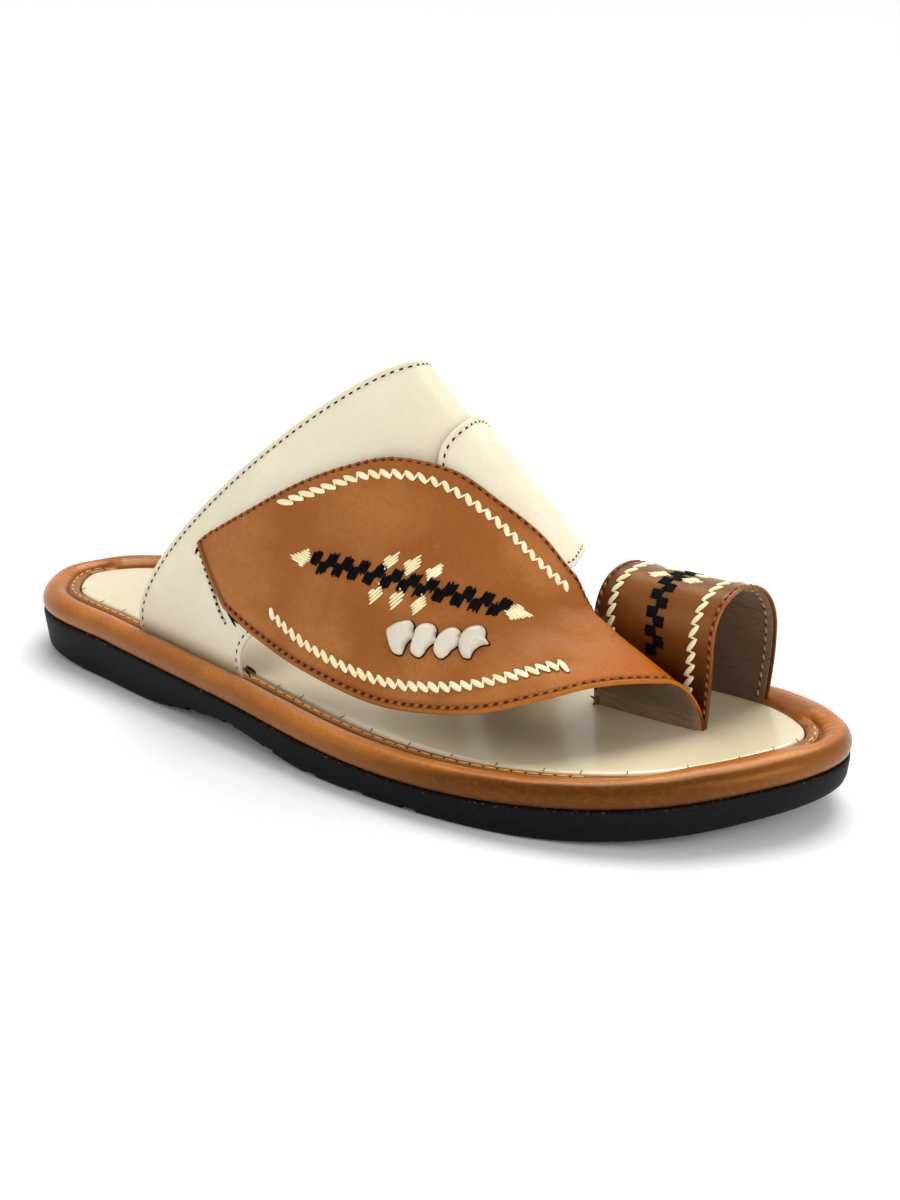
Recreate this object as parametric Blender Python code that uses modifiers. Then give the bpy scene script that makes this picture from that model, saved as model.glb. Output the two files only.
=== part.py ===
# Toe ring sandal for the right foot: a black rubber outsole, a brown wrapped rim around a
# cream insole, and an upper of four overlapping pieces of leather.
# Sizes are in millimetres and are made into metres by MM. +X runs from heel to toe,
# +Y to the big toe's side and +Z up. The sandal stands on Z = 0.
import math
from collections import namedtuple

import bmesh
import bpy
from mathutils import Vector

MM = 0.001

# Driving dimensions
LENGTH = 289.0
BALL_WIDTH = 112.0
INSTEP_HEIGHT = 111.5
HEEL_THICKNESS = 14.6

# Sole
TOE_SPRING = 9.0
HEEL_RISE = 10.0
ARCH_RISE = 4.2
HEEL_ROUND = 3.0
RIM_WIDTH = 12.5
FOOTBED_RISE = 6.0
SEAT_GAP = 0.3
GROOVE_FIRST = -45.0
GROOVE_PITCH = 18.3
GROOVE_COUNT = 6
GROOVE_WIDTH = 5.0
GROOVE_DEPTH = 1.3

# Upper
LEATHER = 1.6
LAYER = LEATHER + 0.35
LEG_INSET = 10.2
LEG_SCALE = 100.0
SLOT_PLAY = 0.3
SWEEP = 0.12
CREST_REACH = 0.6
SOLE_SIDE = 0.75
SLOT_SIDE = 0.55

# Toe ring
RING_WIDTH = 30.3
RING_RISE = 39.5
RING_STRAIGHT = 23.0
RING_FULL = 0.88
RING_BACK = 3.0
RING_LEAN = 2.5
RING_BULGE = 1.4
RING_TAPER = 0.025

# Lacing: four puffed loops in a row on the vamp
PUFF_COUNT = 4
PUFF_SIZE = (3.2, 5.0, 2.8)
PUFF_SLANT = 1.3
PUFF_SQUARE = 0.5
PUFF_SEAT = 0.4
PUFF_FIRST = (3.55, 0.225)
PUFF_STEP = (0.2, 0.023)

# Points around the sole's outline
AROUND = 96


def scaled(table, sizes):
    # A table with its columns, in percent, made into sizes
    return [type(row)(*(v * size / 100 for v, size in zip(row, sizes))) for row in table]


Edge = namedtuple("Edge", "x lateral medial")
# Outline of the sole: its two edges at stations along the foot, in percent of the length
# and of the ball width
OUTLINE = scaled([
    Edge(-44.3, -23.7, 24.6),
    Edge(-31.1, -32.3, 31.2),
    Edge(-12.1, -41.3, 33.9),
    Edge(8.7, -49.6, 41.5),
    Edge(25.6, -47.3, 50.0),
    Edge(39.1, -33.0, 43.3),
    Edge(47.4, -8.9, 27.2),
], (LENGTH, BALL_WIDTH, BALL_WIDTH))
HEEL_TIP = Edge(-LENGTH / 2, 0.0, 0.0)
TOE_TIP = Edge(LENGTH / 2, 12.0, 12.0)

Run = namedtuple("Run", "start end")
# The two flats that the sole stands on, in percent of the length
HEEL_FLAT, BALL_FLAT = scaled([Run(-40.8, -24.9), Run(3.8, 25.3)], (LENGTH, LENGTH))

Height = namedtuple("Height", "x z")
# Top of the outsole under the rim, in percent of the length and of the heel's thickness
SOLE_TOP = scaled([
    Height(-50.0, 100),
    Height(-31.1, 95),
    Height(-10.4, 81),
    Height(13.8, 55.5),
    Height(32.9, 72),
    Height(50.0, 115),
], (LENGTH, HEEL_THICKNESS))

Lip = namedtuple("Lip", "inset rise")
# Section of the wrapped rim: the padded roll, then the flange beside the insole
RIM_SECTION = [
    Lip(12.5, 0.3),
    Lip(0.9, 0.3),
    Lip(0.0, 1.6),
    Lip(-0.1, 3.6),
    Lip(0.9, 5.6),
    Lip(3.0, 7.0),
    Lip(5.4, 7.0),
    Lip(7.6, 6.1),
    Lip(8.6, 5.6),
    Lip(11.6, 6.0),
    Lip(12.5, 5.4),
]

Spot = namedtuple("Spot", "x y")
# Ends of the toe slot in the insole, in percent of the length and of the ball width
SLOT_BACK, SLOT_FRONT = scaled([Spot(22.8, 12.1), Spot(35.9, 6.3)], (LENGTH, BALL_WIDTH))

Rib = namedtuple("Rib", "outer_x crest_x crest_y crest_z sole_x slot_x rise")
# Ribs of the last under the upper, from the band's back edge to the front of the toe slot.
# Each rises from the lateral edge of the insole to the crest. It falls on the big toe's
# side to the edge of the insole at sole_x, or to the toe slot at slot_x. The columns are in
# percent of the length (x), the ball width (y) and the instep height (z). rise is how
# steeply the lateral side starts.
RIBS = scaled([
    Rib(-27.2, 2.2, -0.4, 100.0, -9.0, 15.2, 25),
    Rib(-17.6, 7.1, -0.9, 87.9, -1.7, 17.0, 31),
    Rib(-8.7, 12.1, 2.2, 73.5, 4.8, 18.7, 35),
    Rib(0.3, 16.8, 5.4, 58.7, 11.1, 20.1, 45),
    Rib(10.0, 20.8, 4.9, 44.4, 17.0, 21.5, 50),
    Rib(19.0, 25.3, 3.1, 37.4, 23.2, 22.8, 55),
    Rib(25.3, 29.9, 0.9, 32.5, 29.4, 29.4, 55),
    Rib(30.1, 33.7, 0.0, 27.8, 35.6, 35.9, 55),
], (LENGTH, LENGTH, BALL_WIDTH, INSTEP_HEIGHT, LENGTH, LENGTH, 1))

Row = namedtuple("Row", "t back front")
# Instep band, lateral foot to medial foot: the ribs where each row of it starts and ends
BAND = [
    Row(0.0, 0.0, 1.92),
    Row(0.06, 0.0, 1.9),
    Row(0.12, 0.0, 2.05),
    Row(0.3, 0.0, 2.0),
    Row(0.5, 0.0, 1.85),
    Row(0.65, 0.0, 1.68),
    Row(0.8, 0.0, 1.5),
    Row(1.0, 0.0, 1.42),
]
# Medial strap, from under the vamp to the medial foot
STRAP = [
    Row(0.40, 1.9, 2.9),
    Row(0.44, 1.46, 3.3),
    Row(0.48, 1.27, 3.55),
    Row(0.52, 1.19, 3.62),
    Row(0.58, 1.2, 3.52),
    Row(0.68, 1.38, 3.36),
    Row(0.78, 1.66, 3.2),
    Row(0.88, 1.75, 3.2),
    Row(1.0, 1.8, 3.32),
]

Fold = namedtuple("Fold", "low_s low_t top_s top_t")
# Vamp panel, from its rear edge to the front of the toe slot: its lateral and upper edge
VAMP = [
    Fold(1.41, 0.105, 0.43, 0.165),
    Fold(2.02, 0.090, 0.71, 0.228),
    Fold(2.75, 0.078, 0.96, 0.302),
    Fold(3.41, 0.076, 1.30, 0.376),
    Fold(3.95, 0.084, 1.80, 0.430),
    Fold(4.42, 0.104, 2.50, 0.456),
    Fold(4.90, 0.135, 3.13, 0.478),
    Fold(5.29, 0.180, 3.73, 0.497),
    Fold(5.56, 0.228, 4.15, 0.530),
    Fold(5.80, 0.278, 4.45, 0.620),
    Fold(6.02, 0.340, 4.70, 0.780),
    Fold(6.30, 0.398, 5.00, 1.0),
    Fold(6.58, 0.448, 5.60, 1.0),
    Fold(6.80, 0.485, 6.20, 1.0),
    Fold(6.93, 0.525, 6.65, 1.0),
    Fold(7.00, 0.600, 7.00, 1.0),
]


# --- curves -------------------------------------------------------------------------

def hermite(p1, p2, m1, m2, f):
    return ((2 * f**3 - 3 * f**2 + 1) * p1 + (f**3 - 2 * f**2 + f) * m1
            + (3 * f**2 - 2 * f**3) * p2 + (f**3 - f**2) * m2)


def smooth_at(keys, values, key):
    # Value at a key on the smooth curve through the values
    last = len(keys) - 2
    i = 0
    while i < last and key > keys[i + 1]:
        i += 1
    span = keys[i + 1] - keys[i]

    def slope(j):
        lo = max(j - 1, 0)
        hi = min(j + 1, len(keys) - 1)
        return (values[hi] - values[lo]) / (keys[hi] - keys[lo])

    return hermite(values[i], values[i + 1], slope(i) * span, slope(i + 1) * span,
                   (key - keys[i]) / span)


def table_at(table, key):
    # The row at a key, between the rows of a table whose first column is the key
    keys = [row[0] for row in table]
    return [smooth_at(keys, [row[c] for row in table], key) for c in range(1, len(table[0]))]


def ease(f):
    f = min(max(f, 0.0), 1.0)
    return f * f * (3 - 2 * f)


# --- sole ---------------------------------------------------------------------------

def even_points(points, count, bend=0.0):
    # Points spread evenly along a chain, both ends kept. Each radian of turn counts as
    # bend more of its length, which draws the points into its tighter curves.
    lengths = [0.0]
    for i in range(len(points) - 1):
        step = Vector(points[i + 1]) - Vector(points[i])
        before = Vector(points[i]) - Vector(points[i - 1]) if i else step
        turn = step.angle(before) if bend else 0.0
        lengths.append(lengths[-1] + step.length + bend * turn)
    spread = []
    k = 0
    for i in range(count + 1):
        goal = lengths[-1] * i / count
        while k < len(points) - 2 and lengths[k + 1] < goal:
            k += 1
        f = (goal - lengths[k]) / (lengths[k + 1] - lengths[k])
        spread.append(tuple(p + (q - p) * f for p, q in zip(points[k], points[k + 1])))
    return spread


def outline_points(count):
    # Closed outline: heel tip, lateral edge, toe tip, big toe's side
    stops = [(e.x, e.lateral) for e in [HEEL_TIP] + OUTLINE + [TOE_TIP]]
    stops += [(e.x, e.medial) for e in reversed(OUTLINE)]
    size = len(stops)
    padded = stops[-3:] + stops + stops[:3]
    keys = [0.0]
    for a, b in zip(padded, padded[1:]):
        keys.append(keys[-1] + math.dist(a, b))
    steps = 12

    def run(first, last):
        chain = []
        for i in range(first * steps, last * steps + 1):
            k, f = divmod(i, steps)
            key = keys[k + 3] + (keys[k + 4] - keys[k + 3]) * f / steps
            chain.append(tuple(smooth_at(keys, [p[c] for p in padded], key) for c in (0, 1)))
        return even_points(chain, count // 2)

    toe = len(OUTLINE) + 1
    return run(0, toe)[:-1] + run(toe, size)[:-1]


def inset_points(outline, inset):
    moved = []
    for i, point in enumerate(outline):
        before = outline[i - 1]
        after = outline[(i + 1) % len(outline)]
        dx = after[0] - before[0]
        dy = after[1] - before[1]
        size = math.hypot(dx, dy)
        moved.append((point[0] - dy / size * inset, point[1] + dx / size * inset))
    return moved


def sole_top(x):
    return table_at(SOLE_TOP, x)[0]


def footbed_top(x):
    return sole_top(x) + FOOTBED_RISE


def sole_bottom(x):
    # Flat under the heel and the ball, raised at the arch, the heel's back and the toe
    if x < HEEL_FLAT.start:
        return HEEL_RISE * ((HEEL_FLAT.start - x) / (HEEL_FLAT.start - HEEL_TIP.x)) ** 2
    if HEEL_FLAT.end < x < BALL_FLAT.start:
        f = (x - HEEL_FLAT.end) / (BALL_FLAT.start - HEEL_FLAT.end)
        return ARCH_RISE * math.sin(math.pi * f) ** 2
    if x > BALL_FLAT.end:
        return TOE_SPRING * ((x - BALL_FLAT.end) / (TOE_TIP.x - BALL_FLAT.end)) ** 1.8
    return 0.0


def sole_ring(outline, inset, height_at, rise):
    return [(x, y, height_at(x) + rise) for x, y in inset_points(outline, inset)]


def edge_at(x, lateral):
    # Edge of the sole at a station, from the outline table
    at_lateral, at_medial = table_at([HEEL_TIP] + OUTLINE + [TOE_TIP], x)
    return at_lateral if lateral else at_medial


# --- last ---------------------------------------------------------------------------

def bezier(p0, p1, p2, p3, f):
    g = 1 - f
    return p0 * g**3 + 3 * p1 * g * g * f + 3 * p2 * g * f * f + p3 * f**3


def slot_at(x):
    # Across the sole, where the toe slot's line passes a station along the foot
    f = (x - SLOT_BACK.x) / (SLOT_FRONT.x - SLOT_BACK.x)
    return SLOT_BACK.y + (SLOT_FRONT.y - SLOT_BACK.y) * f


def rib_feet(in_slot):
    # Each rib with its feet placed on the footbed. The sole's feet stand beside the roll of
    # the rim, and those in the slot lie on its line.
    placed = []
    for i, rib in enumerate(RIBS):
        outer = (rib.outer_x, edge_at(rib.outer_x, True) + LEG_INSET)
        if in_slot:
            inner = (rib.slot_x, slot_at(rib.slot_x))
        else:
            inner = (rib.sole_x, edge_at(rib.sole_x, False) - LEG_INSET)
        placed.append((i, *outer, footbed_top(outer[0]), rib.crest_x, rib.crest_y,
                       rib.crest_z, *inner, footbed_top(inner[0]), rib.rise))
    return placed


SOLE_LAST = rib_feet(False)
SLOT_LAST = rib_feet(True)


def last_point(s, t, last):
    # Point of the last at rib s: t runs from the lateral foot (0) over the crest (0.5) to
    # the other foot (1), and past either foot straight down
    row = table_at(last, s)
    crest = Vector(row[3:6])
    if t <= 0.5:
        foot = Vector(row[0:3])
        f = 2 * t
        rise = row[9]
        reach = CREST_REACH
        sweep = (crest.x - foot.x) * SWEEP
    else:
        foot = Vector(row[6:9])
        f = 2 * (1 - t)
        rise = SLOT_SIDE if last is SLOT_LAST else SOLE_SIDE
        reach = rise
        sweep = 0.0
    if f < 0:
        return foot + Vector((0, 0, f / 2 * LEG_SCALE))
    x = bezier(foot.x, foot.x - sweep, crest.x - sweep, crest.x, f)
    y = bezier(foot.y, foot.y, crest.y + (foot.y - crest.y) * reach, crest.y, f)
    z = bezier(foot.z, foot.z + (crest.z - foot.z) * rise, crest.z, crest.z, f)
    return Vector((x, y, z))


def last_normal(s, t, last):
    step = 0.004
    along = last_point(s + step, t, last) - last_point(s - step, t, last)
    across = last_point(s, t + step, last) - last_point(s, t - step, last)
    return along.cross(across).normalized()


def over_last(s, t, lift, last):
    return last_point(s, t, last) + last_normal(s, t, last) * lift


def leg_end(s, foot, last):
    # The t at which a leg that starts at a foot (0 or 1) reaches the outsole
    point = last_point(s, foot, last)
    drop = (point.z - sole_top(point.x) - SEAT_GAP) / LEG_SCALE
    return 1 + drop if foot else -drop


# --- solids -------------------------------------------------------------------------

def add_object(name, mesh, collection, material=None):
    obj = bpy.data.objects.new(name, mesh)
    collection.objects.link(obj)
    if material:
        mesh.materials.append(material)
    return obj


def mesh_of(name, points, faces):
    mesh = bpy.data.meshes.new(name)
    mesh.from_pydata([Vector(p) * MM for p in points], [], faces)
    builder = bmesh.new()
    builder.from_mesh(mesh)
    bmesh.ops.recalc_face_normals(builder, faces=builder.faces)
    builder.to_mesh(mesh)
    builder.free()
    mesh.shade_smooth()
    mesh.set_sharp_from_angle(angle=math.radians(40))
    return mesh


def ladder(first, count):
    # Faces across a ring, each joining its two sides at the same place along the foot
    faces = [(first, first + 1, first + count - 1)]
    for i in range(1, count // 2 - 1):
        faces.append((first + i, first + i + 1, first + count - i - 1, first + count - i))
    half = count // 2
    faces.append((first + half - 1, first + half, first + half + 1))
    return faces


def ring_faces(rings, count, closed):
    faces = []
    for r in range(rings if closed else rings - 1):
        low = r * count
        high = (r + 1) % rings * count
        for i in range(count):
            j = (i + 1) % count
            faces.append((low + i, low + j, high + j, high + i))
    return faces


def make_plate(name, rings, collection, material):
    # A plate from rings that start under it and end on top, closed by a ladder at each
    count = len(rings[0])
    points = [p for ring in rings for p in ring]
    faces = ring_faces(len(rings), count, False)
    faces += ladder(0, count) + ladder((len(rings) - 1) * count, count)
    return add_object(name, mesh_of(name, points, faces), collection, material)


def make_sheet(name, rows, thickness, offset, collection, material=None):
    # A sheet of leather: rows of points on its inner face, thickened outward
    width = len(rows[0])
    points = [p for row in rows for p in row]
    faces = []
    for r in range(len(rows) - 1):
        for i in range(width - 1):
            a = r * width + i
            faces.append((a, a + 1, a + width + 1, a + width))
    mesh = bpy.data.meshes.new(name)
    mesh.from_pydata([Vector(p) * MM for p in points], [], faces)
    mesh.shade_smooth()
    obj = add_object(name, mesh, collection, material)
    skin = obj.modifiers.new("thickness", "SOLIDIFY")
    skin.thickness = thickness * MM
    skin.offset = offset
    return obj


def cut(obj, cutter):
    boolean = obj.modifiers.new(cutter.name, "BOOLEAN")
    boolean.operation = "DIFFERENCE"
    boolean.object = cutter


def make_slot(name, line, width, collection):
    # A cutter around a leg: its line on the footbed, deeper and higher than the footbed
    rows = [[Vector((x, y, z - FOOTBED_RISE - 3)), Vector((x, y, z + 3))] for x, y, z in line]
    cutter = make_sheet(name, rows, width, 0.0, collection)
    cutter.modifiers["thickness"].use_even_offset = True
    return cutter


def material(name, color, roughness):
    made = bpy.data.materials.new(name)
    made.use_nodes = True
    shader = made.node_tree.nodes["Principled BSDF"]
    shader.inputs["Base Color"].default_value = (*color, 1)
    shader.inputs["Roughness"].default_value = roughness
    shader.inputs["Metallic"].default_value = 0.0
    return made


def collection_named(name):
    made = bpy.data.collections.new(name)
    bpy.context.scene.collection.children.link(made)
    return made


# --- sub-parts ----------------------------------------------------------------------

def tread_ring(outline, inset, rise):
    # A ring low on the outsole, drawn further in around the back of the heel
    moved = inset_points(outline, inset)
    deep = inset_points(outline, inset * HEEL_ROUND)
    ring = []
    for (x, y), (deep_x, deep_y) in zip(moved, deep):
        f = ease((HEEL_FLAT.start + 20 - x) / 35)
        x += (deep_x - x) * f
        y += (deep_y - y) * f
        ring.append((x, y, sole_bottom(x) + rise))
    return ring


def make_outsole(outline, parts, cutters):
    rubber = material("black_rubber", (0.018, 0.018, 0.019), 0.7)
    rings = [
        tread_ring(outline, 2.6, 0.0),
        tread_ring(outline, 1.2, 0.7),
        tread_ring(outline, 0.4, 2.4),
        sole_ring(outline, 0.0, sole_top, -0.6),
        sole_ring(outline, 0.6, sole_top, 0.0),
    ]
    outsole = make_plate("outsole", rings, parts, rubber)
    for i in range(GROOVE_COUNT):
        bpy.ops.mesh.primitive_cube_add(size=1)
        groove = bpy.context.object
        groove.name = f"groove_{i + 1}"
        for old in groove.users_collection:
            old.objects.unlink(groove)
        cutters.objects.link(groove)
        x = GROOVE_FIRST + GROOVE_PITCH * i
        groove.location = (x * MM, 0, (sole_bottom(x) + GROOVE_DEPTH - 5) * MM)
        groove.scale = (GROOVE_WIDTH * MM, 150 * MM, 10 * MM)
        cut(outsole, groove)
    return outsole


def make_rim(outline, parts):
    brown = material("brown_rim_leather", (0.42, 0.16, 0.045), 0.42)
    rings = [sole_ring(outline, lip.inset, sole_top, lip.rise) for lip in RIM_SECTION]
    points = [p for ring in rings for p in ring]
    faces = ring_faces(len(rings), len(outline), True)
    return add_object("rim", mesh_of("rim", points, faces), parts, brown)


def make_insole(outline, parts):
    cream = material("cream_insole_leather", (0.78, 0.68, 0.50), 0.3)
    edge = RIM_WIDTH + SEAT_GAP
    rings = [
        sole_ring(outline, edge, sole_top, SEAT_GAP),
        sole_ring(outline, edge, sole_top, FOOTBED_RISE - 0.9),
        sole_ring(outline, edge + 0.4, sole_top, FOOTBED_RISE - 0.3),
        sole_ring(outline, edge + 1.2, sole_top, FOOTBED_RISE),
    ]
    return make_plate("insole", rings, parts, cream)


def strap_rows(table, count, steps, lift_at, feet):
    # Rows across a strap: t from one side to the other, s from its back to its front.
    # Below each foot named in feet, one more row reaches down to the outsole.
    def row_at(t, end_at):
        back, front = table_at(table, t)
        stations = [back + (front - back) * j / steps for j in range(steps + 1)]
        return [over_last(s, end_at(s), lift_at(s, t), SOLE_LAST) for s in stations]

    rows = []
    for i in range(count + 1):
        t = table[0].t + (table[-1].t - table[0].t) * i / count
        rows.append(row_at(t, lambda s, t=t: t))
    if 0 in feet:
        rows.insert(0, row_at(0, lambda s: leg_end(s, 0, SOLE_LAST)))
    if 1 in feet:
        rows.append(row_at(1, lambda s: leg_end(s, 1, SOLE_LAST)))
    return rows


def leg_line(table, foot):
    # The line of a leg's middle on the footbed, a little longer than the leg
    row = table[-1] if foot else table[0]
    stations = [row.back + (row.front - row.back) * j / 8 for j in range(9)]
    line = [over_last(s, foot, LEATHER / 2, SOLE_LAST) for s in stations]
    line[0] += (line[0] - line[1]).normalized() * SLOT_PLAY
    line[-1] += (line[-1] - line[-2]).normalized() * SLOT_PLAY
    return line


def flat_lift(s, t):
    return 0.0


def strap_lift(s, t):
    # The medial strap lies over the band, and comes down beside it at its foot
    return LAYER * (1 - ease((t - 0.76) / 0.14))


def vamp_lift(s, t):
    # The vamp lies over the band, two layers up where the medial strap is under its edge,
    # and comes down onto the last towards the toe slot
    base = LAYER * (1 - ease((s - 2.6) / 1.6))
    front = 3.7 + 7 * min(t - 0.5, 0)
    over = ease((t - 0.31) / 0.08) * ease((s - 1.1) / 0.4) * (1 - ease((s - front) / 0.8))
    return base + (2 * LAYER - base) * over


def vamp_point(s, t, lift):
    return over_last(s, t, vamp_lift(s, t) + lift, SLOT_LAST)


def vamp_rows():
    # Rows across the vamp, from its lateral edge to its upper edge or down into the slot
    rows = []
    steps = 45
    across = 16
    keys = list(range(len(VAMP)))
    columns = [[fold[c] for fold in VAMP] for c in range(4)]
    for i in range(steps + 1):
        key = (len(VAMP) - 1) * i / steps
        low_s, low_t, top_s, top_t = (smooth_at(keys, column, key) for column in columns)
        top_t = min(top_t, 1.0)
        drop = (leg_end(top_s, 1, SLOT_LAST) - 1) * ease((top_t - 0.55) / 0.45)
        chain = []
        for j in range(61):
            f = j / 60
            s = low_s + (top_s - low_s) * f
            t = low_t + (top_t - low_t) * f
            chain.append(vamp_point(s, t, 0))
        row = [Vector(p) for p in even_points(chain, across, 10.0)]
        end = top_t + max(drop, 0.005)
        row.append(vamp_point(top_s, end, 0))
        rows.append(row[::-1])
    return rows


def ring_point(f, w, rise):
    # Point of the toe ring: f along the slot, w across the big toe, rise over the footbed.
    # The ring leans back, bulges away from the other toes and is a little lower in front.
    along = Vector((*SLOT_FRONT, 0)) - Vector((*SLOT_BACK, 0))
    length = along.length + RING_BACK
    along.normalize()
    across = Vector((-along.y, along.x, 0))
    up = min(max(rise / RING_RISE, 0.0), 1.0)
    bulge = RING_BULGE * math.sin(math.pi * up) * w / RING_WIDTH
    point = Vector((*SLOT_BACK, 0)) + across * (LAYER + w + bulge)
    point += along * (length * f - RING_BACK - RING_LEAN * up)
    point.z = footbed_top(point.x) + rise * (1 - RING_TAPER * f * up)
    return point


def ring_path():
    # The ring's inner face across the big toe: near leg, arch, far leg
    near = LEATHER
    far = RING_WIDTH - LEATHER
    middle = (near + far) / 2
    radius = (far - near) / 2
    crown = RING_RISE - LEATHER - RING_STRAIGHT
    path = [(near, SEAT_GAP - FOOTBED_RISE), (near, 0), (near, RING_STRAIGHT / 2)]
    for i in range(17):
        turn = math.pi * i / 16
        side = math.copysign(abs(math.cos(turn)) ** RING_FULL, math.cos(turn))
        rise = RING_STRAIGHT + crown * math.sin(turn) ** RING_FULL
        path.append((middle - radius * side, rise))
    return path + [(far, RING_STRAIGHT / 2), (far, 0), (far, SEAT_GAP - FOOTBED_RISE)]


def make_ring(parts):
    brown = material("brown_ring_leather", (0.40, 0.15, 0.045), 0.4)
    rows = [[ring_point(i / 8, w, rise) for i in range(9)] for w, rise in ring_path()]
    return make_sheet("toe_ring", rows, LEATHER, 1.0, parts, brown)


def make_puff(number, parts, cream):
    # A puffed loop of lacing on the vamp: a bead with a flat back and slanted ends
    s = PUFF_FIRST[0] + PUFF_STEP[0] * (number - 1)
    t = PUFF_FIRST[1] + PUFF_STEP[1] * (number - 1)
    top = LEATHER + PUFF_SEAT
    centre = vamp_point(s, t, top)
    along = vamp_point(s + PUFF_STEP[0], t + PUFF_STEP[1], top) - centre
    up = vamp_point(s, t + 0.04, top) - vamp_point(s, t - 0.04, top)
    normal = along.cross(up).normalized()
    along.normalize()
    up = normal.cross(along)
    mesh = bpy.data.meshes.new(f"lace_puff_{number}")
    builder = bmesh.new()
    bmesh.ops.create_uvsphere(builder, u_segments=14, v_segments=8, radius=1)
    for vert in builder.verts:
        a, b, c = vert.co
        square = max(abs(a), abs(b), 1e-9) / max(math.hypot(a, b), 1e-9)
        grow = 1 + PUFF_SQUARE * (1 / square - 1)
        a = PUFF_SIZE[0] * a * grow + PUFF_SLANT * b
        b = PUFF_SIZE[1] * b * grow
        c = max(c, 0) * PUFF_SIZE[2]
        vert.co = (centre + along * a + up * b + normal * c) * MM
    bmesh.ops.dissolve_degenerate(builder, dist=1e-6, edges=builder.edges)
    bmesh.ops.recalc_face_normals(builder, faces=builder.faces)
    builder.to_mesh(mesh)
    builder.free()
    mesh.shade_smooth()
    return add_object(mesh.name, mesh, parts, cream)


def build():
    for obj in list(bpy.data.objects):
        bpy.data.objects.remove(obj)
    parts = collection_named("toe_ring_sandal")
    cutters = collection_named("cutters")
    outline = outline_points(AROUND)

    make_outsole(outline, parts, cutters)
    rim = make_rim(outline, parts)
    insole = make_insole(outline, parts)

    cream = material("cream_upper_leather", (0.80, 0.74, 0.58), 0.35)
    brown = material("brown_vamp_leather", (0.42, 0.16, 0.06), 0.35)
    band = strap_rows(BAND, 32, 8, flat_lift, (0, 1))
    make_sheet("instep_band", band, LEATHER, 1.0, parts, cream)
    strap = strap_rows(STRAP, 26, 8, strap_lift, (1,))
    make_sheet("medial_strap", strap, LEATHER, 1.0, parts, cream)
    make_sheet("vamp_panel", vamp_rows(), LEATHER, 1.0, parts, brown)
    make_ring(parts)
    for number in range(1, PUFF_COUNT + 1):
        make_puff(number, parts, cream)

    width = LEATHER + 2 * SLOT_PLAY
    for name, table, foot in (
        ("band_lateral_slot", BAND, 0),
        ("band_medial_slot", BAND, 1),
        ("strap_medial_slot", STRAP, 1),
    ):
        cut(rim, make_slot(name, leg_line(table, foot), width, cutters))
    ends = (-0.01, 1.01)
    toe_line = [ring_point(f, -SEAT_GAP / 2, 0) for f in ends]
    cut(insole, make_slot("toe_slot", toe_line, LEATHER + LAYER + 2 * SLOT_PLAY, cutters))
    far_line = [ring_point(f, RING_WIDTH - LEATHER / 2, 0) for f in ends]
    far_slot = make_slot("ring_far_slot", far_line, width, cutters)
    cut(insole, far_slot)
    cut(rim, far_slot)
    for cutter in cutters.objects:
        cutter.hide_render = True
        cutter.display_type = "WIRE"


build()
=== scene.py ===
# Looks of the toe ring sandal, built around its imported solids. Sizes are in millimetres.
import math

import bmesh
import bpy
import numpy as np
from mathutils import Matrix, Vector


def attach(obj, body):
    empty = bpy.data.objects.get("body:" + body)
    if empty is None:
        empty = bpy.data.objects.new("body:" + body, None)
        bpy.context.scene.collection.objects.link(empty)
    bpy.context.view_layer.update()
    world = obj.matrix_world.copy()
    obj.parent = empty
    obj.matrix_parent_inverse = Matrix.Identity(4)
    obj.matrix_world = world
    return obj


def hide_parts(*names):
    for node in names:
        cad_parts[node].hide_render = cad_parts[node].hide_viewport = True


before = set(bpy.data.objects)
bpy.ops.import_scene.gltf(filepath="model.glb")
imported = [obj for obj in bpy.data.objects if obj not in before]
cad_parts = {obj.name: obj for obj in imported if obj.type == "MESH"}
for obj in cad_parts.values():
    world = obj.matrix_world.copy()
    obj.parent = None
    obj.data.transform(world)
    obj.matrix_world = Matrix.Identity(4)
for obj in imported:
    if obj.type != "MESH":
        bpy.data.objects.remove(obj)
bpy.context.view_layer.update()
mm = 0.001
print("sandal: frame loaded")


# the camera, the studio and its floor; the floor's own sizes are in metres
camera = {"turn": 34.9, "rise": 18.55, "roll": 0.86, "away": 550, "aim": (4.15, 24.83, 31.5),
          "lens": 51.744}
studio = {"sky": 0.40, "sun": 2.65, "sunFrom": (-0.2, 0.5, 1.0), "sunSpread": 44,
          # place, aim, size and power of each softbox
          "lamps": [((-620, -700, 560), (-40, 0, 50), 500, 0.8),
                    ((560, -260, 420), (110, 10, 10), 300, 0.55),
                    ((300, -30, 90), (95, 2, 12), 90, 0.1)]}
floor = {"flat": 6.0, "rim": 14.0, "rise": 5.0, "corners": 96, "rings": 13,
         "light": (0.86,) * 3, "dark": (0.94,) * 3, "depth": 0.01}


def placed(name, data):
    made = bpy.data.objects.new(name, data)
    bpy.context.scene.collection.objects.link(made)
    return made


def makeCamera():
    turn, rise, roll = (math.radians(camera[key]) for key in ("turn", "rise", "roll"))
    back = Vector((math.sin(turn) * math.cos(rise), -math.cos(turn) * math.cos(rise),
                   math.sin(rise)))
    right = (-back).cross(Vector((0, 0, 1))).normalized()
    up = right.cross(-back)
    side = right * math.cos(roll) + up * math.sin(roll)
    top = up * math.cos(roll) - right * math.sin(roll)
    data = bpy.data.cameras.new("camera")
    data.lens = camera["lens"]
    data.sensor_width = 36
    data.clip_start = 0.01
    made = placed("camera", data)
    made.matrix_world = Matrix.Translation(
        (Vector(camera["aim"]) + back * camera["away"]) * mm) @ Matrix(
        (side, top, back)).transposed().to_4x4()
    bpy.context.scene.camera = made


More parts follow.
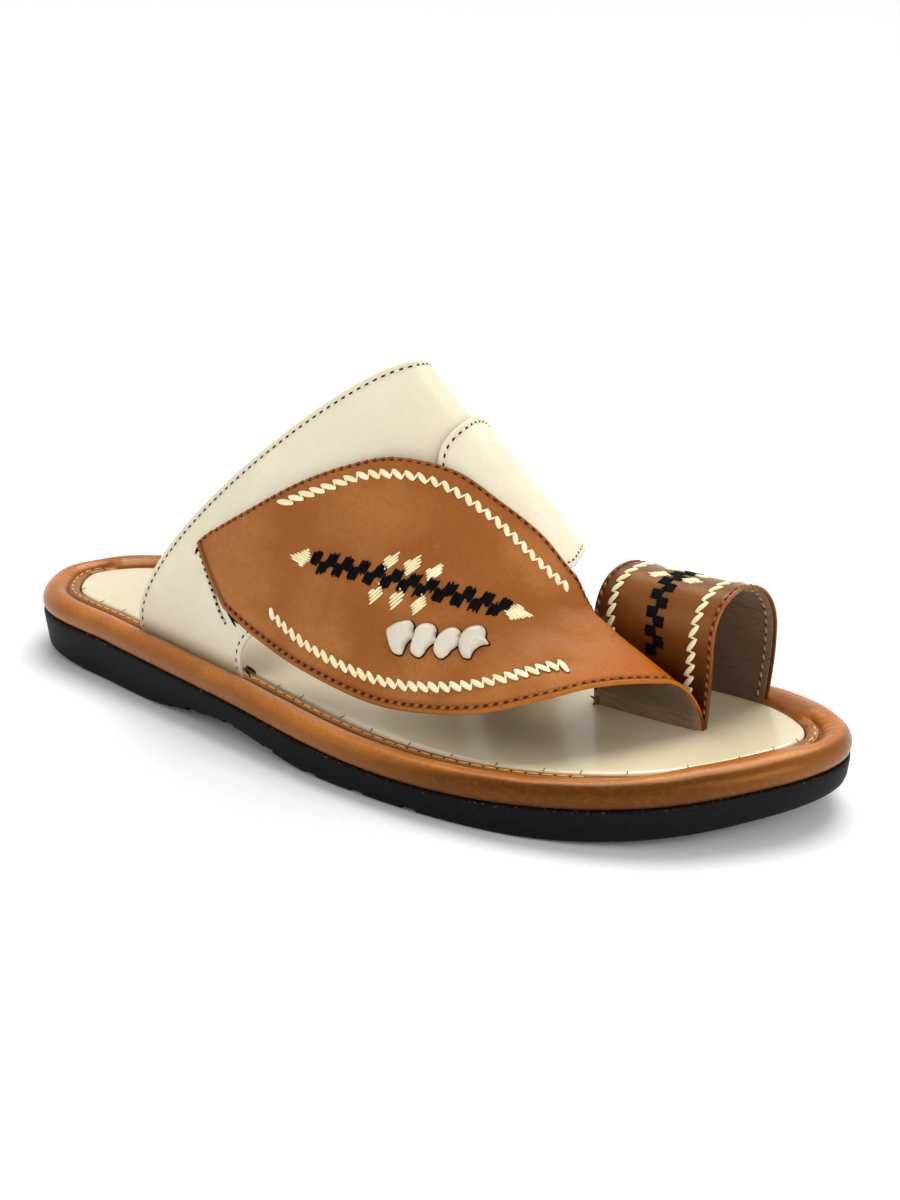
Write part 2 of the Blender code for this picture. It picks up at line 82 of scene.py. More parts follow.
def addLamp(name, kind, power, toward):
    data = bpy.data.lights.new(name, kind)
    data.energy = power
    lamp = placed(name, data)
    lamp.rotation_euler = toward.to_track_quat("-Z", "Y").to_euler()
    return lamp


def makeStudio():
    world = bpy.data.worlds.new("studio")
    world.use_nodes = True
    sky = world.node_tree.nodes["Background"]
    sky.inputs["Color"].default_value = (1, 1, 1, 1)
    sky.inputs["Strength"].default_value = studio["sky"]
    bpy.context.scene.world = world
    sun = addLamp("sun", "SUN", studio["sun"], -Vector(studio["sunFrom"]))
    sun.data.angle = math.radians(studio["sunSpread"])
    for i, (place, aim, size, power) in enumerate(studio["lamps"]):
        lamp = addLamp(f"softbox{i}", "AREA", power, Vector(aim) - Vector(place))
        lamp.data.shape = "DISK"
        lamp.data.size = size * mm
        lamp.location = Vector(place) * mm
    bpy.context.scene.view_settings.view_transform = "Standard"


def makeFloor():
    # a pale floor whose far rim curves up, so that it fills the background
    count = floor["corners"]
    radii = np.concatenate([[0.5, 2.0], np.linspace(floor["flat"], floor["rim"], floor["rings"])])
    points = [(0, 0, 0)]
    for radius in radii:
        up = max(radius - floor["flat"], 0) / (floor["rim"] - floor["flat"])
        for i in range(count):
            turn = 2 * math.pi * i / count
            points.append((radius * math.cos(turn), radius * math.sin(turn), up * up * floor["rise"]))
    faces = [(0, 1 + i, 1 + (i + 1) % count) for i in range(count)]
    for r in range(len(radii) - 1):
        low = 1 + r * count
        faces += [(low + i, low + count + i, low + count + (i + 1) % count, low + (i + 1) % count)
                  for i in range(count)]
    mesh = bpy.data.meshes.new("floor")
    mesh.from_pydata(points, [], faces)
    mesh.materials.append(plainFinish("floorPaper", floor))
    mesh.shade_smooth()
    ground = placed("floor", mesh)


class Value:
    # a socket that shader maths can be written with
    def __init__(self, finish, socket):
        self.finish = finish
        self.socket = socket

    def math(self, operation, *terms):
        return self.finish.node("ShaderNodeMath", {"operation": operation},
                                dict(enumerate(terms)))

    def __add__(self, other):
        return self.math("ADD", self, other)

    def __sub__(self, other):
        return self.math("SUBTRACT", self, other)

    def __rsub__(self, other):
        return self.math("SUBTRACT", other, self)

    def __mul__(self, other):
        return self.math("MULTIPLY", self, other)

    __radd__ = __add__
    __rmul__ = __mul__


class Finish:
    # one material: numbers that are the same all over are set on its shader
    def __init__(self, name, fixed):
        self.material = bpy.data.materials.new(name)
        self.material.use_nodes = True
        self.tree = self.material.node_tree
        self.shader = self.tree.nodes["Principled BSDF"]
        for key, value in fixed.items():
            self.feed(self.shader.inputs[key], value)
        place = self.node("ShaderNodeTexCoord", out="Object")
        self.place = self.node("ShaderNodeVectorMath", {"operation": "SCALE"},
                               {0: place, "Scale": 1 / mm})

    def feed(self, socket, value):
        if isinstance(value, Value):
            self.tree.links.new(value.socket, socket)
        elif socket.type == "RGBA":
            socket.default_value = (*value[:3], 1)
        else:
            socket.default_value = value

    def node(self, kind, settings=None, values=None, out=0):
        made = self.tree.nodes.new(kind)
        for key, value in (settings or {}).items():
            setattr(made, key, value)
        for key, value in (values or {}).items():
            self.feed(made.inputs[key], value)
        return Value(self, made.outputs[out])

    def noise(self, scale, detail=2.0, rough=0.5, stretch=None):
        place = self.place
        if stretch:
            place = self.node("ShaderNodeMapping", {}, {0: place, "Scale": stretch})
        return self.node("ShaderNodeTexNoise", {}, {"Vector": place, "Scale": scale,
                                                    "Detail": detail, "Roughness": rough})

    def cells(self, scale):
        return self.node("ShaderNodeTexVoronoi", {}, {"Vector": self.place, "Scale": scale})

    def axis(self, index):
        return self.node("ShaderNodeSeparateXYZ", values={0: self.place}, out=index)

    def attribute(self, name):
        return self.node("ShaderNodeAttribute", {"attribute_name": name}, out="Fac")

    def between(self, value, low, high):
        # 0 below low and 1 above high, softly
        return self.node("ShaderNodeMapRange", {"interpolation_type": "SMOOTHSTEP"},
                         {0: value, 1: low, 2: high, 3: 0.0, 4: 1.0})

    def mix(self, mask, first, second):
        return self.node("ShaderNodeMix", {"data_type": "RGBA"},
                         {0: mask, 6: first, 7: second}, out=2)

    def use(self, color, roughness, height, depth, strength=1.0):
        # height is in shares of depth, which is in millimetres
        bump = self.node("ShaderNodeBump", {}, {"Height": height, "Distance": depth * mm,
                                                "Strength": strength})
        for key, value in (("Base Color", color), ("Roughness", roughness), ("Normal", bump)):
            self.feed(self.shader.inputs[key], value)
        return self.material


# what a leather has unless its piece says otherwise
leatherBase = {"coat": 0.0, "coatRough": 0.3, "tint": (1.0, 1.0, 1.0), "cells": 2.2,
               "edgeShare": 0.0, "turned": 1.0, "raw": 0.0, "rawEdge": (0.06, 0.022, 0.01),
               "groove": 0.5, "mottle": 0.2, "pits": 0.1, "wear": 0.2,
               "specks": 0.0, "speckScale": 0.06, "speck": (0.02, 0.015, 0.01)}


def leatherFinish(name, own):
    # a smooth coated leather: soft unevenness, fine grain and creases, a warmer turned edge,
    # a second tone where the piece asks for it (painted shade on the rim, insole, band and ring,
    # a deeper orange on the vamp's tail), painted shade along its seams and a few scuffs and specks
    light, dark = own["light"], own["dark"]
    look = {"second": dark, "grooved": dark, "edge": light, "worn": light, **leatherBase, **own}
    made = Finish(name, {"Specular IOR Level": look["gloss"], "Specular Tint": look["tint"],
                         "Coat Weight": look["coat"], "Coat Roughness": look["coatRough"]})
    edge, tone, warm, groove = (made.attribute(key) for key in ("edge", "tone", "warm", "groove"))
    cloudy = made.noise(0.045, 3.0)
    fine = made.noise(0.7, 4.0, 0.6)
    grain = made.cells(look["cells"])
    folds = made.noise(0.55, 3.0, 0.55, (0.5, 1.0, 1.6))
    turned = 1 - made.between(edge, look["turned"] - 0.4, look["turned"] + 0.4)
    raw = (1 - made.between(edge, 0.3, 0.6)) * (1 - warm)
    pits = made.between(grain, 0.35, 0.7) * made.between(fine, 0.3, 0.6)
    worn = made.between(made.noise(0.16, 6.0, 0.72), 0.64, 0.72)
    specks = 1 - made.between(made.cells(look["speckScale"]), 0.012, 0.02)
    color = made.mix(made.between(cloudy, 0.35, 0.7), dark, light)
    # tone and groove are painted shade (tone is a deeper orange on the vamp's tail); pits are the grain
    for mask, tint in ((tone, "second"), (turned * warm * look["edgeShare"], "edge"),
                       (raw * look["raw"], "rawEdge"), (groove * look["groove"], "grooved"),
                       (made.between(fine, 0.5, 0.8) * look["mottle"], "dark"),
                       (pits * look["pits"], "grooved"), (worn * look["wear"], "worn"),
                       (specks * look["specks"], "speck")):
        color = made.mix(mask, color, look[tint])
    height = grain * 0.3 + fine * 0.35 + folds * 0.8 + made.noise(0.18, 2.0) * 1.3
    rough = look["rough"] + (fine - 0.5) * 0.1 + (cloudy - 0.5) * 0.1 + worn * 0.08
    return made.use(color, rough, height, 0.1, look["grain"])


def plainFinish(name, look):
    # matt and a little uneven
    made = Finish(name, {"Specular IOR Level": 0.1})
    fine = made.noise(1.5, 4.0, 0.6)
    color = made.mix(made.between(fine, 0.35, 0.7), look["dark"], look["light"])
    return made.use(color, 0.9 + (fine - 0.5) * 0.15, fine, look.get("depth", 0.1))


def rubberFinish(look):
    # matt rubber with dust in its upper joint and a fine tread pressed into its underside
    made = Finish("blackRubber", {"Specular IOR Level": look["gloss"]})
    fine = made.noise(1.2, 4.0, 0.6)
    dust = made.attribute("joint") * made.between(made.noise(1.1, 4.0, 0.7), 0.58, 0.7)
    scuffs = made.between(made.noise(0.35, 6.0, 0.75, (0.4, 0.4, 2.0)), 0.62, 0.74)
    color = made.mix(made.between(fine, 0.35, 0.7), look["dark"], look["light"])
    color = made.mix(dust * 0.7 + scuffs * 0.06, color, look["dust"])
    grid = [made.node("ShaderNodeMath", {"operation": "SINE"},
                      {0: made.axis(i) * (2 * math.pi / look["tread"])}) for i in (0, 1)]
    tread = made.between(grid[0] * grid[1], -0.1, 0.1) * made.attribute("under")
    return made.use(color, look["rough"] + (fine - 0.5) * 0.15, fine * 0.2 + tread, 0.5)


def liningFinish(look):
    # split suede: a short nap, fine creases across it, painted shade where its piece is toned, and a
    # pale frayed border
    made = Finish("suedeLining", {"Specular IOR Level": 0.15, "Sheen Weight": 0.12,
                                  "Sheen Roughness": 0.5})
    edge = made.attribute("edge")
    nap = made.noise(2.2, 4.0, 0.7)
    folds = made.noise(0.45, 4.0, 0.6, (0.22, 1.0, 3.4))
    cloudy = made.noise(0.05, 2.0)
    color = made.mix(made.between(nap * 0.6 + cloudy * 0.4, 0.35, 0.68), look["dark"], look["light"])
    color = made.mix(made.between(folds, 0.5, 0.68) * 0.55, color, look["fold"])
    frayed = 1 - made.between(edge + nap * 0.7, look["border"], look["border"] + 0.2)
    # painted shade: darker wherever the piece's tone is, as under the vamp
    color = made.mix(made.attribute("tone") * 0.55, color, look["fold"])
    color = made.mix(frayed, color, look["fray"])
    return made.use(color, 0.92, nap * 0.5 + folds * 1.2, 0.3, 0.9)


def threadFinish(name, look):
    # soft thread whose filaments run along it
    made = Finish(name, {"Specular IOR Level": look.get("gloss", 0.3),
                         "Sheen Weight": look.get("sheen", 0.1), "Sheen Roughness": 0.4})
    ply = made.attribute("ply")
    twist = made.node("ShaderNodeMath", {"operation": "SINE"}, {0: ply * (2 * math.pi)})
    fuzz = made.noise(2.4, 3.0, 0.6)
    shade = twist * 0.12 + fuzz * 0.7 + made.attribute("strand") * 0.3
    color = made.mix(made.between(shade, 0.25, 0.75), look["dark"], look["light"])
    return made.use(color, look.get("rough", 0.6), twist * 0.25 + fuzz * 0.5, 0.04, 0.8)


# shape of the sole and the last, as in the solids
sole = {"length": 289.0, "ball": 112.0, "instep": 111.5, "heel": 14.6, "spring": 9.0,
        "heelRise": 10.0, "arch": 4.2, "heelRound": 3.0, "rimWidth": 12.5, "footbed": 6.0,
        "gap": 0.3}
upper = {"leather": 1.6, "layer": 1.95, "legInset": 10.2, "legScale": 100.0, "sweep": 0.12,
         "crestReach": 0.6, "soleSide": 0.75, "slotSide": 0.55}


def scaled(rows, sizes):
    # tables are in percent of the sizes above, so that the sandal can be scaled
    return np.array(rows, float) * np.array(sizes, float) / 100


# along the sole, then its lateral edge and its edge on the big toe's side
outline = scaled([(-50, 0, 0), (-44.3, -23.7, 24.6), (-31.1, -32.3, 31.2), (-12.1, -41.3, 33.9),
                  (8.7, -49.6, 41.5), (25.6, -47.3, 50.0), (39.1, -33.0, 43.3),
                  (47.4, -8.9, 27.2), (50, 10.714, 10.714)],
                 (sole["length"], sole["ball"], sole["ball"]))
heelFlat, ballFlat = scaled([(-40.8, -24.9), (3.8, 25.3)], (sole["length"],) * 2)
soleTops = scaled([(-50, 100), (-31.1, 95), (-10.4, 81), (13.8, 55.5), (32.9, 72), (50, 115)],
                  (sole["length"], sole["heel"]))
slotBack, slotFront = scaled([(22.8, 12.1), (35.9, 6.3)], (sole["length"], sole["ball"]))
# ribs of the last: lateral foot, crest (three columns), foot on the sole, foot in the toe slot
# and how full the lateral side is
ribs = scaled([(-27.2, 2.2, -0.4, 100.0, -9.0, 15.2, 25), (-17.6, 7.1, -0.9, 87.9, -1.7, 17.0, 31),
               (-8.7, 12.1, 2.2, 73.5, 4.8, 18.7, 35), (0.3, 16.8, 5.4, 58.7, 11.1, 20.1, 45),
               (10.0, 20.8, 4.9, 44.4, 17.0, 21.5, 50), (19.0, 25.3, 3.1, 37.4, 23.2, 22.8, 55),
               (25.3, 29.9, 0.9, 32.5, 29.4, 29.4, 55), (30.1, 33.7, 0.0, 27.8, 35.6, 35.9, 55)],
              (sole["length"], sole["length"], sole["ball"], sole["instep"], sole["length"],
               sole["length"], 1))


def ease(f):
    f = np.clip(f, 0.0, 1.0)
    return f * f * (3 - 2 * f)


def bell(value, middle, width):
    return np.exp(-(((value - middle) / width) ** 2))


def unit(vectors):
    return vectors / np.maximum(np.linalg.norm(vectors, axis=-1, keepdims=True), 1e-12)


def runAlong(points):
    # how far along its line each point is
    steps = np.linalg.norm(np.diff(points, axis=-2), axis=-1)
    return np.concatenate([np.zeros((*steps.shape[:-1], 1)), np.cumsum(steps, -1)], -1)


def straight(start, end, count):
    # evenly spaced points on straight lines
    start, end = (np.asarray(spot, float)[..., None, :] for spot in (start, end))
    return start + (end - start) * np.linspace(0, 1, count)[:, None]


def smoothAt(keys, values, key):
    # values at keys along the smooth curve through a table, for an array of keys
    keys = np.asarray(keys, float)
    values = np.asarray(values, float).reshape(len(keys), -1)
    key = np.asarray(key, float)
    last = len(keys) - 1
    before = np.maximum(np.arange(last + 1) - 1, 0)
    after = np.minimum(np.arange(last + 1) + 1, last)
    slope = (values[after] - values[before]) / (keys[after] - keys[before])[:, None]
    i = np.clip(np.searchsorted(keys, key) - 1, 0, last - 1)
    span = (keys[i + 1] - keys[i])[..., None]
    f = (key - keys[i])[..., None] / span
    return ((2 * f**3 - 3 * f**2 + 1) * values[i] + (f**3 - 2 * f**2 + f) * slope[i] * span
            + (3 * f**2 - 2 * f**3) * values[i + 1] + (f**3 - f**2) * slope[i + 1] * span)


def soleTop(x):
    return smoothAt(soleTops[:, 0], soleTops[:, 1], x)[..., 0]


def footbedTop(x):
    return soleTop(x) + sole["footbed"]


def soleBottom(x):
    heelTip, toeTip = outline[0, 0], outline[-1, 0]
    behind = np.clip((heelFlat[0] - x) / (heelFlat[0] - heelTip), 0, None)
    middle = np.clip((x - heelFlat[1]) / (ballFlat[0] - heelFlat[1]), 0, 1)
    ahead = np.clip((x - ballFlat[1]) / (toeTip - ballFlat[1]), 0, None)
    return (sole["heelRise"] * behind**2 + sole["arch"] * np.sin(math.pi * middle) ** 2
            + sole["spring"] * ahead**1.8)


def placeLast(inSlot):
    # each rib's lateral foot, crest, other foot and rise
    def edges(x):
        return smoothAt(outline[:, 0], outline[:, 1:], x)

    outerX, slotX, soleX = ribs[:, 0], ribs[:, 5], ribs[:, 4]
    outerY = edges(outerX)[:, 0] + upper["legInset"]
    if inSlot:
        innerX = slotX
        share = (innerX - slotBack[0]) / (slotFront[0] - slotBack[0])
        innerY = slotBack[1] + (slotFront[1] - slotBack[1]) * share
    else:
        innerX = soleX
        innerY = edges(soleX)[:, 1] - upper["legInset"]
    return np.stack([outerX, outerY, footbedTop(outerX), *ribs[:, 1:4].T,
                     innerX, innerY, footbedTop(innerX), ribs[:, 6]], 1)


soleLast = placeLast(False)
slotLast = placeLast(True)


def lastPoint(s, t, last):
    s, t = np.broadcast_arrays(np.asarray(s, float), np.asarray(t, float))
    row = smoothAt(np.arange(len(last)), last, s)
    crest = row[..., 3:6]
    lateral = (t <= 0.5)[..., None]
    foot = np.where(lateral, row[..., 0:3], row[..., 6:9])
    side = upper["slotSide"] if last is slotLast else upper["soleSide"]
    rise = np.where(lateral[..., 0], row[..., 9], side)
    reach = np.where(lateral[..., 0], upper["crestReach"], side)
    sweep = np.where(lateral[..., 0], (crest[..., 0] - foot[..., 0]) * upper["sweep"], 0)
    down = np.where(lateral[..., 0], 2 * t, 2 * (1 - t))
    f = np.clip(down, 0, None)
    g = 1 - f

    def bezier(p0, p1, p2, p3):
        return p0 * g**3 + 3 * p1 * g * g * f + 3 * p2 * g * f * f + p3 * f**3

    fx, fy, fz = foot[..., 0], foot[..., 1], foot[..., 2]
    cx, cy, cz = crest[..., 0], crest[..., 1], crest[..., 2]
    x = bezier(fx, fx - sweep, cx - sweep, cx)
    y = bezier(fy, fy, cy + (fy - cy) * reach, cy)
    z = bezier(fz, fz + (cz - fz) * rise, cz, cz) + np.clip(down, None, 0) / 2 * upper["legScale"]
    return np.stack([x, y, z], -1)


def overLast(s, t, lift, last):
    step = 0.004
    along = lastPoint(s + step, t, last) - lastPoint(s - step, t, last)
    across = lastPoint(s, t + step, last) - lastPoint(s, t - step, last)
    return lastPoint(s, t, last) + unit(np.cross(along, across)) * np.asarray(lift)[..., None]


def legEnd(s, foot, last):
    point = lastPoint(s, foot, last)
    drop = (point[..., 2] - soleTop(point[..., 0]) - sole["gap"]) / upper["legScale"]
    return 1 + drop if foot else -drop


def addPiece(name, points, faces, finishes, face=None, values=None, weld=False):
    mesh = bpy.data.meshes.new(name)
    mesh.from_pydata((np.asarray(points) * mm).tolist(), [], faces)
    for finish in finishes:
        mesh.materials.append(finish)
    if face is not None:
        mesh.polygons.foreach_set("material_index", np.asarray(face, np.int32))
    for key, value in (values or {}).items():
        layer = mesh.attributes.new(key, "FLOAT", "POINT")
        layer.data.foreach_set("value", np.asarray(value, np.float32).ravel())
    builder = bmesh.new()
    builder.from_mesh(mesh)
    if weld:
        bmesh.ops.remove_doubles(builder, verts=builder.verts, dist=2e-7)
        bmesh.ops.dissolve_degenerate(builder, dist=1e-7, edges=builder.edges)
    bmesh.ops.recalc_face_normals(builder, faces=builder.faces)
    builder.to_mesh(mesh)
    builder.free()
    mesh.shade_smooth()
    piece = placed(name, mesh)
    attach(piece, "root")
    return piece


# where the grid lines run beside an open edge, and on which of them its seams are
leather = {"near": (0, 0.05, 0.18, 0.4, 0.75, 1.2, 1.8, 2.4, 3.0, 3.6, 4.4), "seam": 6,
           "ringSeam": 5, "prick": 8, "turned": 1.2, "skived": 1.0, "step": 0.3, "roll": 0.2,
           "dip": 0.12}


def spread(points, count, isOpen):
    # places of the grid lines along each curve, close together beside an open edge, and
    # their distance from that edge
    length = runAlong(points)
    whole = length[:, -1:]
    near = np.array(leather["near"])

    def slant(i, j):
        across = unit(points[:, j] - points[:, i])
        along = unit(np.gradient(points[:, i], axis=0))
        return np.clip(np.linalg.norm(np.cross(across, along), axis=1), 0.45, 1)[:, None]

    slants = slant(0, 1), slant(-1, -2)
    size = np.minimum(1, whole / 12)
    first = near * size / slants[0] if isOpen[0] else np.zeros((len(points), 1))
    final = near * size / slants[1] if isOpen[1] else np.zeros((len(points), 1))
    inner = count + 1 - first.shape[1] - final.shape[1]
    share = np.linspace(0, 1, inner + 2)[1:-1]
    middle = first[:, -1:] + (whole - final[:, -1:] - first[:, -1:]) * share
    stops = np.concatenate([first, middle, whole - final[:, ::-1]], 1)
    edge = np.full(stops.shape, 99.0)
    if isOpen[0]:
        edge = np.minimum(edge, stops * slants[0])
    if isOpen[1]:
        edge = np.minimum(edge, (whole - stops) * slants[1])
    key = np.linspace(0, 1, points.shape[1])
    place = np.array([np.interp(stop, line, key) for stop, line in zip(stops, length)])
    return place, edge


def gridOf(pointAt, rows, cols, openRows):
    # a grid over a sheet whose lines run beside its open edges: u, v and the edge distance
    fineU = np.linspace(0, 1, 241)
    fineV = np.linspace(0, 1, 161)
    whole = pointAt(fineU[:, None], fineV[None, :])
    u, edgeU = spread(whole.transpose(1, 0, 2), rows, openRows)
    u, edgeU = u.T, edgeU.T
    v, edgeV = spread(pointAt(u, fineV[None, :]), cols, (True, True))
    lineU = np.array([np.interp(a, fineV, b) for a, b in zip(v, u)])
    lineEdge = np.array([np.interp(a, fineV, b) for a, b in zip(v, edgeU)])
    return lineU, v, lineEdge, edgeV


def creased(points, creases):
    # soft troughs (depth over 0) and ridges (under 0) along lines drawn on the sandal
    height = np.zeros(points.shape[:-1])
    for start, end, width, depth in creases:
        start, end = np.array(start, float), np.array(end, float)
        along = end - start
        share = np.clip((points - start) @ along / (along @ along), 0, 1)
        away = np.linalg.norm(points - start - share[..., None] * along, axis=-1)
        fade = np.sin(math.pi * np.clip(share, 0.02, 0.98)) ** 0.6
        height -= depth * bell(away, 0, width) * fade
    return height


def makeShell(name, base, edge, finishes, marks, creases, flip, seam):
    # a leather sheet, thinner towards its turned and rounded edges, and its lining
    rows, cols = edge.shape
    normal = unit(np.cross(np.gradient(base, axis=0), np.gradient(base, axis=1)))
    if flip:
        normal = -normal
    half = leather["skived"] / 2
    middle = upper["leather"] - half
    stitched = leather["near"][seam]
    bend = np.sqrt(1 - (1 - np.clip(edge / half, 0, 1)) ** 2) * half
    relief = leather["roll"] * np.sin(math.pi * np.clip(edge / stitched, 0, 1)) ** 0.8
    # the groove mark is painted shade along the seam, where the leather dips
    marks["groove"] = bell(edge, stitched, 0.75)
    relief -= leather["dip"] * bell(edge, stitched, 0.5)
    relief += creased(base, creases) * ease((edge - 0.5) / 3)
    outer = base + normal * (middle + bend + relief)[..., None]
    lined = (middle - bend) * (1 - ease((edge - 0.9) / 2.6))
    lined += creased(base, creases) * ease((edge - 0.5) / 3)
    lined += leather["step"] * ease(edge / 0.5) * (1 - ease((edge - leather["turned"]) / 0.25))
    inner = base + normal * lined[..., None]
    index = np.arange(rows * cols).reshape(rows, cols)
    low, high = index[:-1, :-1].ravel(), index[1:, 1:].ravel()
    quads = np.stack([low, index[1:, :-1].ravel(), high, index[:-1, 1:].ravel()], 1)
    border = np.concatenate([index[0, :-1], index[:-1, -1], index[-1, :0:-1], index[:0:-1, 0]])
    after = np.roll(border, -1)
    size = rows * cols
    sides = np.stack([border, after, after + size, border + size], 1)
    faces = np.concatenate([quads, quads[:, ::-1] + size, sides])
    inside = edge.ravel()[quads].mean(1) > leather["turned"]
    look = np.concatenate([np.zeros(len(quads)), inside, np.zeros(len(sides))])
    values = {key: np.tile(value.ravel(), 2) for key, value in {"edge": edge, **marks}.items()}
    piece = addPiece(name, np.concatenate([outer.reshape(-1, 3), inner.reshape(-1, 3)]),
                     faces.tolist(), finishes, look, values, True)
    return piece, outer, inner, normal


draws = np.random.default_rng(7)  # every small irregularity of the threads


def strands(name, paths, normals, width, height, finish, sink=0.3, twist=0.8, point=0.55):
    # threads that lie on the leather, one closed bead per path: sink is the share of the height
    # that is under the surface, twist the turns per millimetre, point how slim the ends are
    paths = np.asarray(paths, float)
    count, steps = paths.shape[:2]
    corners = 8
    along = unit(np.gradient(paths, axis=1))
    side = unit(np.cross(normals, along))
    share = np.linspace(0, 1, steps)
    taper = np.sin(math.pi * (0.09 + 0.82 * share)) ** point
    turn = (np.arange(corners) / corners - 0.25) * 2 * math.pi
    width = np.broadcast_to(np.asarray(width, float).reshape(-1, 1, 1, 1), (count, 1, 1, 1))
    across = np.cos(turn)[None, None, :, None] * side[:, :, None] * width / 2
    up = (np.sin(turn)[None, None, :, None] / 2 + 0.5 - sink) * height * normals[:, :, None]
    points = paths[:, :, None] + (across + up) * taper[None, :, None, None]
    base = (np.arange(count) * steps * corners)[:, None, None]
    ring = (np.arange(steps - 1) * corners)[None, :, None]
    corner = np.arange(corners)[None, None, :]
    after = (corner + 1) % corners
    faces = np.stack([base + ring + corner, base + ring + after, base + ring + corners + after,
                      base + ring + corners + corner], -1).reshape(-1, 4).tolist()
    for i in range(count):
        first = i * steps * corners
        faces.append(list(range(first, first + corners)))
        final = first + (steps - 1) * corners
        faces.append(list(range(final, final + corners)))
    ply = runAlong(paths)[:, :, None] * twist + np.arange(corners)[None, None, :] / corners
    own = np.broadcast_to(draws.random(count)[:, None, None], ply.shape)
    addPiece(name, points.reshape(-1, 3), faces, [finish], values={"ply": ply, "strand": own})


def pointsAlong(points, normals, places):
    # points and normals at distances along a line
    length = runAlong(points)
    found, facing = (np.stack([np.interp(places, length, line[:, i]) for i in range(3)], -1)
                     for line in (points, normals))
    return found, unit(facing)


def machineStitch(name, points, normals, look, finish, hole):
    # a row of lockstitches with a needle hole between each two
    whole = runAlong(points)[-1]
    count = max(int(whole / look["pitch"]), 1)
    pitch = whole / count
    first = np.arange(count) * pitch
    share = np.linspace(0, 1, 5)
    places = first[:, None] + pitch * (look["gap"] + (1 - 2 * look["gap"]) * share)
    paths, facing = pointsAlong(points, normals, places)
    side = unit(np.cross(facing, unit(np.gradient(paths, axis=1))))
    paths = paths + side * ((share - 0.5) * look["slant"])[None, :, None]
    strands(name, paths, facing, look["width"], look["height"], finish)
    gaps = np.append(first, first[-1] + pitch)[:, None] + np.linspace(-0.5, 0.5, 4) * look["hole"]
    paths, facing = pointsAlong(points, normals, gaps)
    strands(name + "Holes", paths, facing, look["holeWidth"], look["holeHeight"], hole, 0.1, 0.1, 0.3)


def pricks(name, points, normals, look, finish):
    # a fine row of needle pricks
    pitch = look["pitch"]
    first = np.arange(pitch, runAlong(points)[-1] - pitch, pitch)
    places = first[:, None] + np.linspace(-0.5, 0.5, 3) * look["length"]
    paths, facing = pointsAlong(points, normals, places)
    strands(name, paths, facing, look["width"], look["height"], finish, 0.35)


around = 720  # points round the sole


def outlinePoints(count):
    # closed outline: heel tip, lateral edge, toe tip, big toe's side
    stops = [(row[0], row[1]) for row in outline] + [(row[0], row[2]) for row in outline[-2:0:-1]]
    padded = np.array(stops[-3:] + stops + stops[:3])
    keys = runAlong(padded)
    halves = []
    toe = len(outline) - 1
    for first, final in ((0, toe), (toe, len(stops))):
        steps = np.linspace(first + 3, final + 3, 1200)
        chain = smoothAt(keys, padded, np.interp(steps, np.arange(len(keys)), keys))
        length = runAlong(chain)
        even = np.linspace(0, length[-1], count // 2 + 1)[:-1]
        halves.append(np.stack([np.interp(even, length, chain[:, i]) for i in (0, 1)], 1))
    return np.concatenate(halves)


soleLine = outlinePoints(around)


def insetLine(line, inset):
    # inset may be one number or one for each point
    run = np.roll(line, -1, 0) - np.roll(line, 1, 0)
    run = run / np.linalg.norm(run, axis=1)[:, None]
    return line + np.stack([-run[:, 1], run[:, 0]], 1) * np.reshape(inset, (-1, 1))


def soleRing(inset, rise):
    line = insetLine(soleLine, inset)
    return np.column_stack([line, soleTop(line[:, 0]) + rise])


def treadRing(inset, rise):
    share = ease((heelFlat[0] + 20 - soleLine[:, 0]) / 35)
    line = insetLine(soleLine, inset * (1 + (sole["heelRound"] - 1) * share))
    return np.column_stack([line, soleBottom(line[:, 0]) + rise])


def ringQuads(rings, count, closed=False):
    quads = []
    for r in range(rings if closed else rings - 1):
        low, high = r * count, (r + 1) % rings * count
        quads += [(low + i, low + (i + 1) % count, high + (i + 1) % count, high + i)
                  for i in range(count)]
    return quads


def plate(rings, heightAt, across):
    # rings from under a plate to its top, and a top filled by lines from side to side
    count = len(rings[0])
    points = [p for ring in rings for p in ring]
    faces = ringQuads(len(rings), count)
    for last, height in ((0, None), (len(rings) - 1, heightAt)):
        first = last * count
        rows = [[first]]
        for i in range(1, count // 2):
            a, b = first + i, first + count - i
            row = [a]
            for j in range(1, across):
                f = j / across
                p = np.array(points[a]) * (1 - f) + np.array(points[b]) * f
                if height:
                    p[2] = height(p)
                row.append(len(points))
                points.append(p)
            rows.append(row + [b])
        rows.append([first + count // 2])
        for low, high in zip(rows, rows[1:]):
            for j in range(across):
                corners = [low[min(j, len(low) - 1)], low[min(j + 1, len(low) - 1)],
                           high[min(j + 1, len(high) - 1)], high[min(j, len(high) - 1)]]
                faces.append(list(dict.fromkeys(corners)))
    return points, faces


outsole = {"light": (0.009, 0.0085, 0.009), "dark": (0.004, 0.004, 0.004),
           "dust": (0.30, 0.25, 0.20), "rough": 0.55, "gloss": 0.08, "tread": 3.2,
           "grooves": {"first": -45.0, "pitch": 18.3, "count": 6, "width": 5.0, "depth": 1.3,
                       "reach": 80, "below": 8.7}}


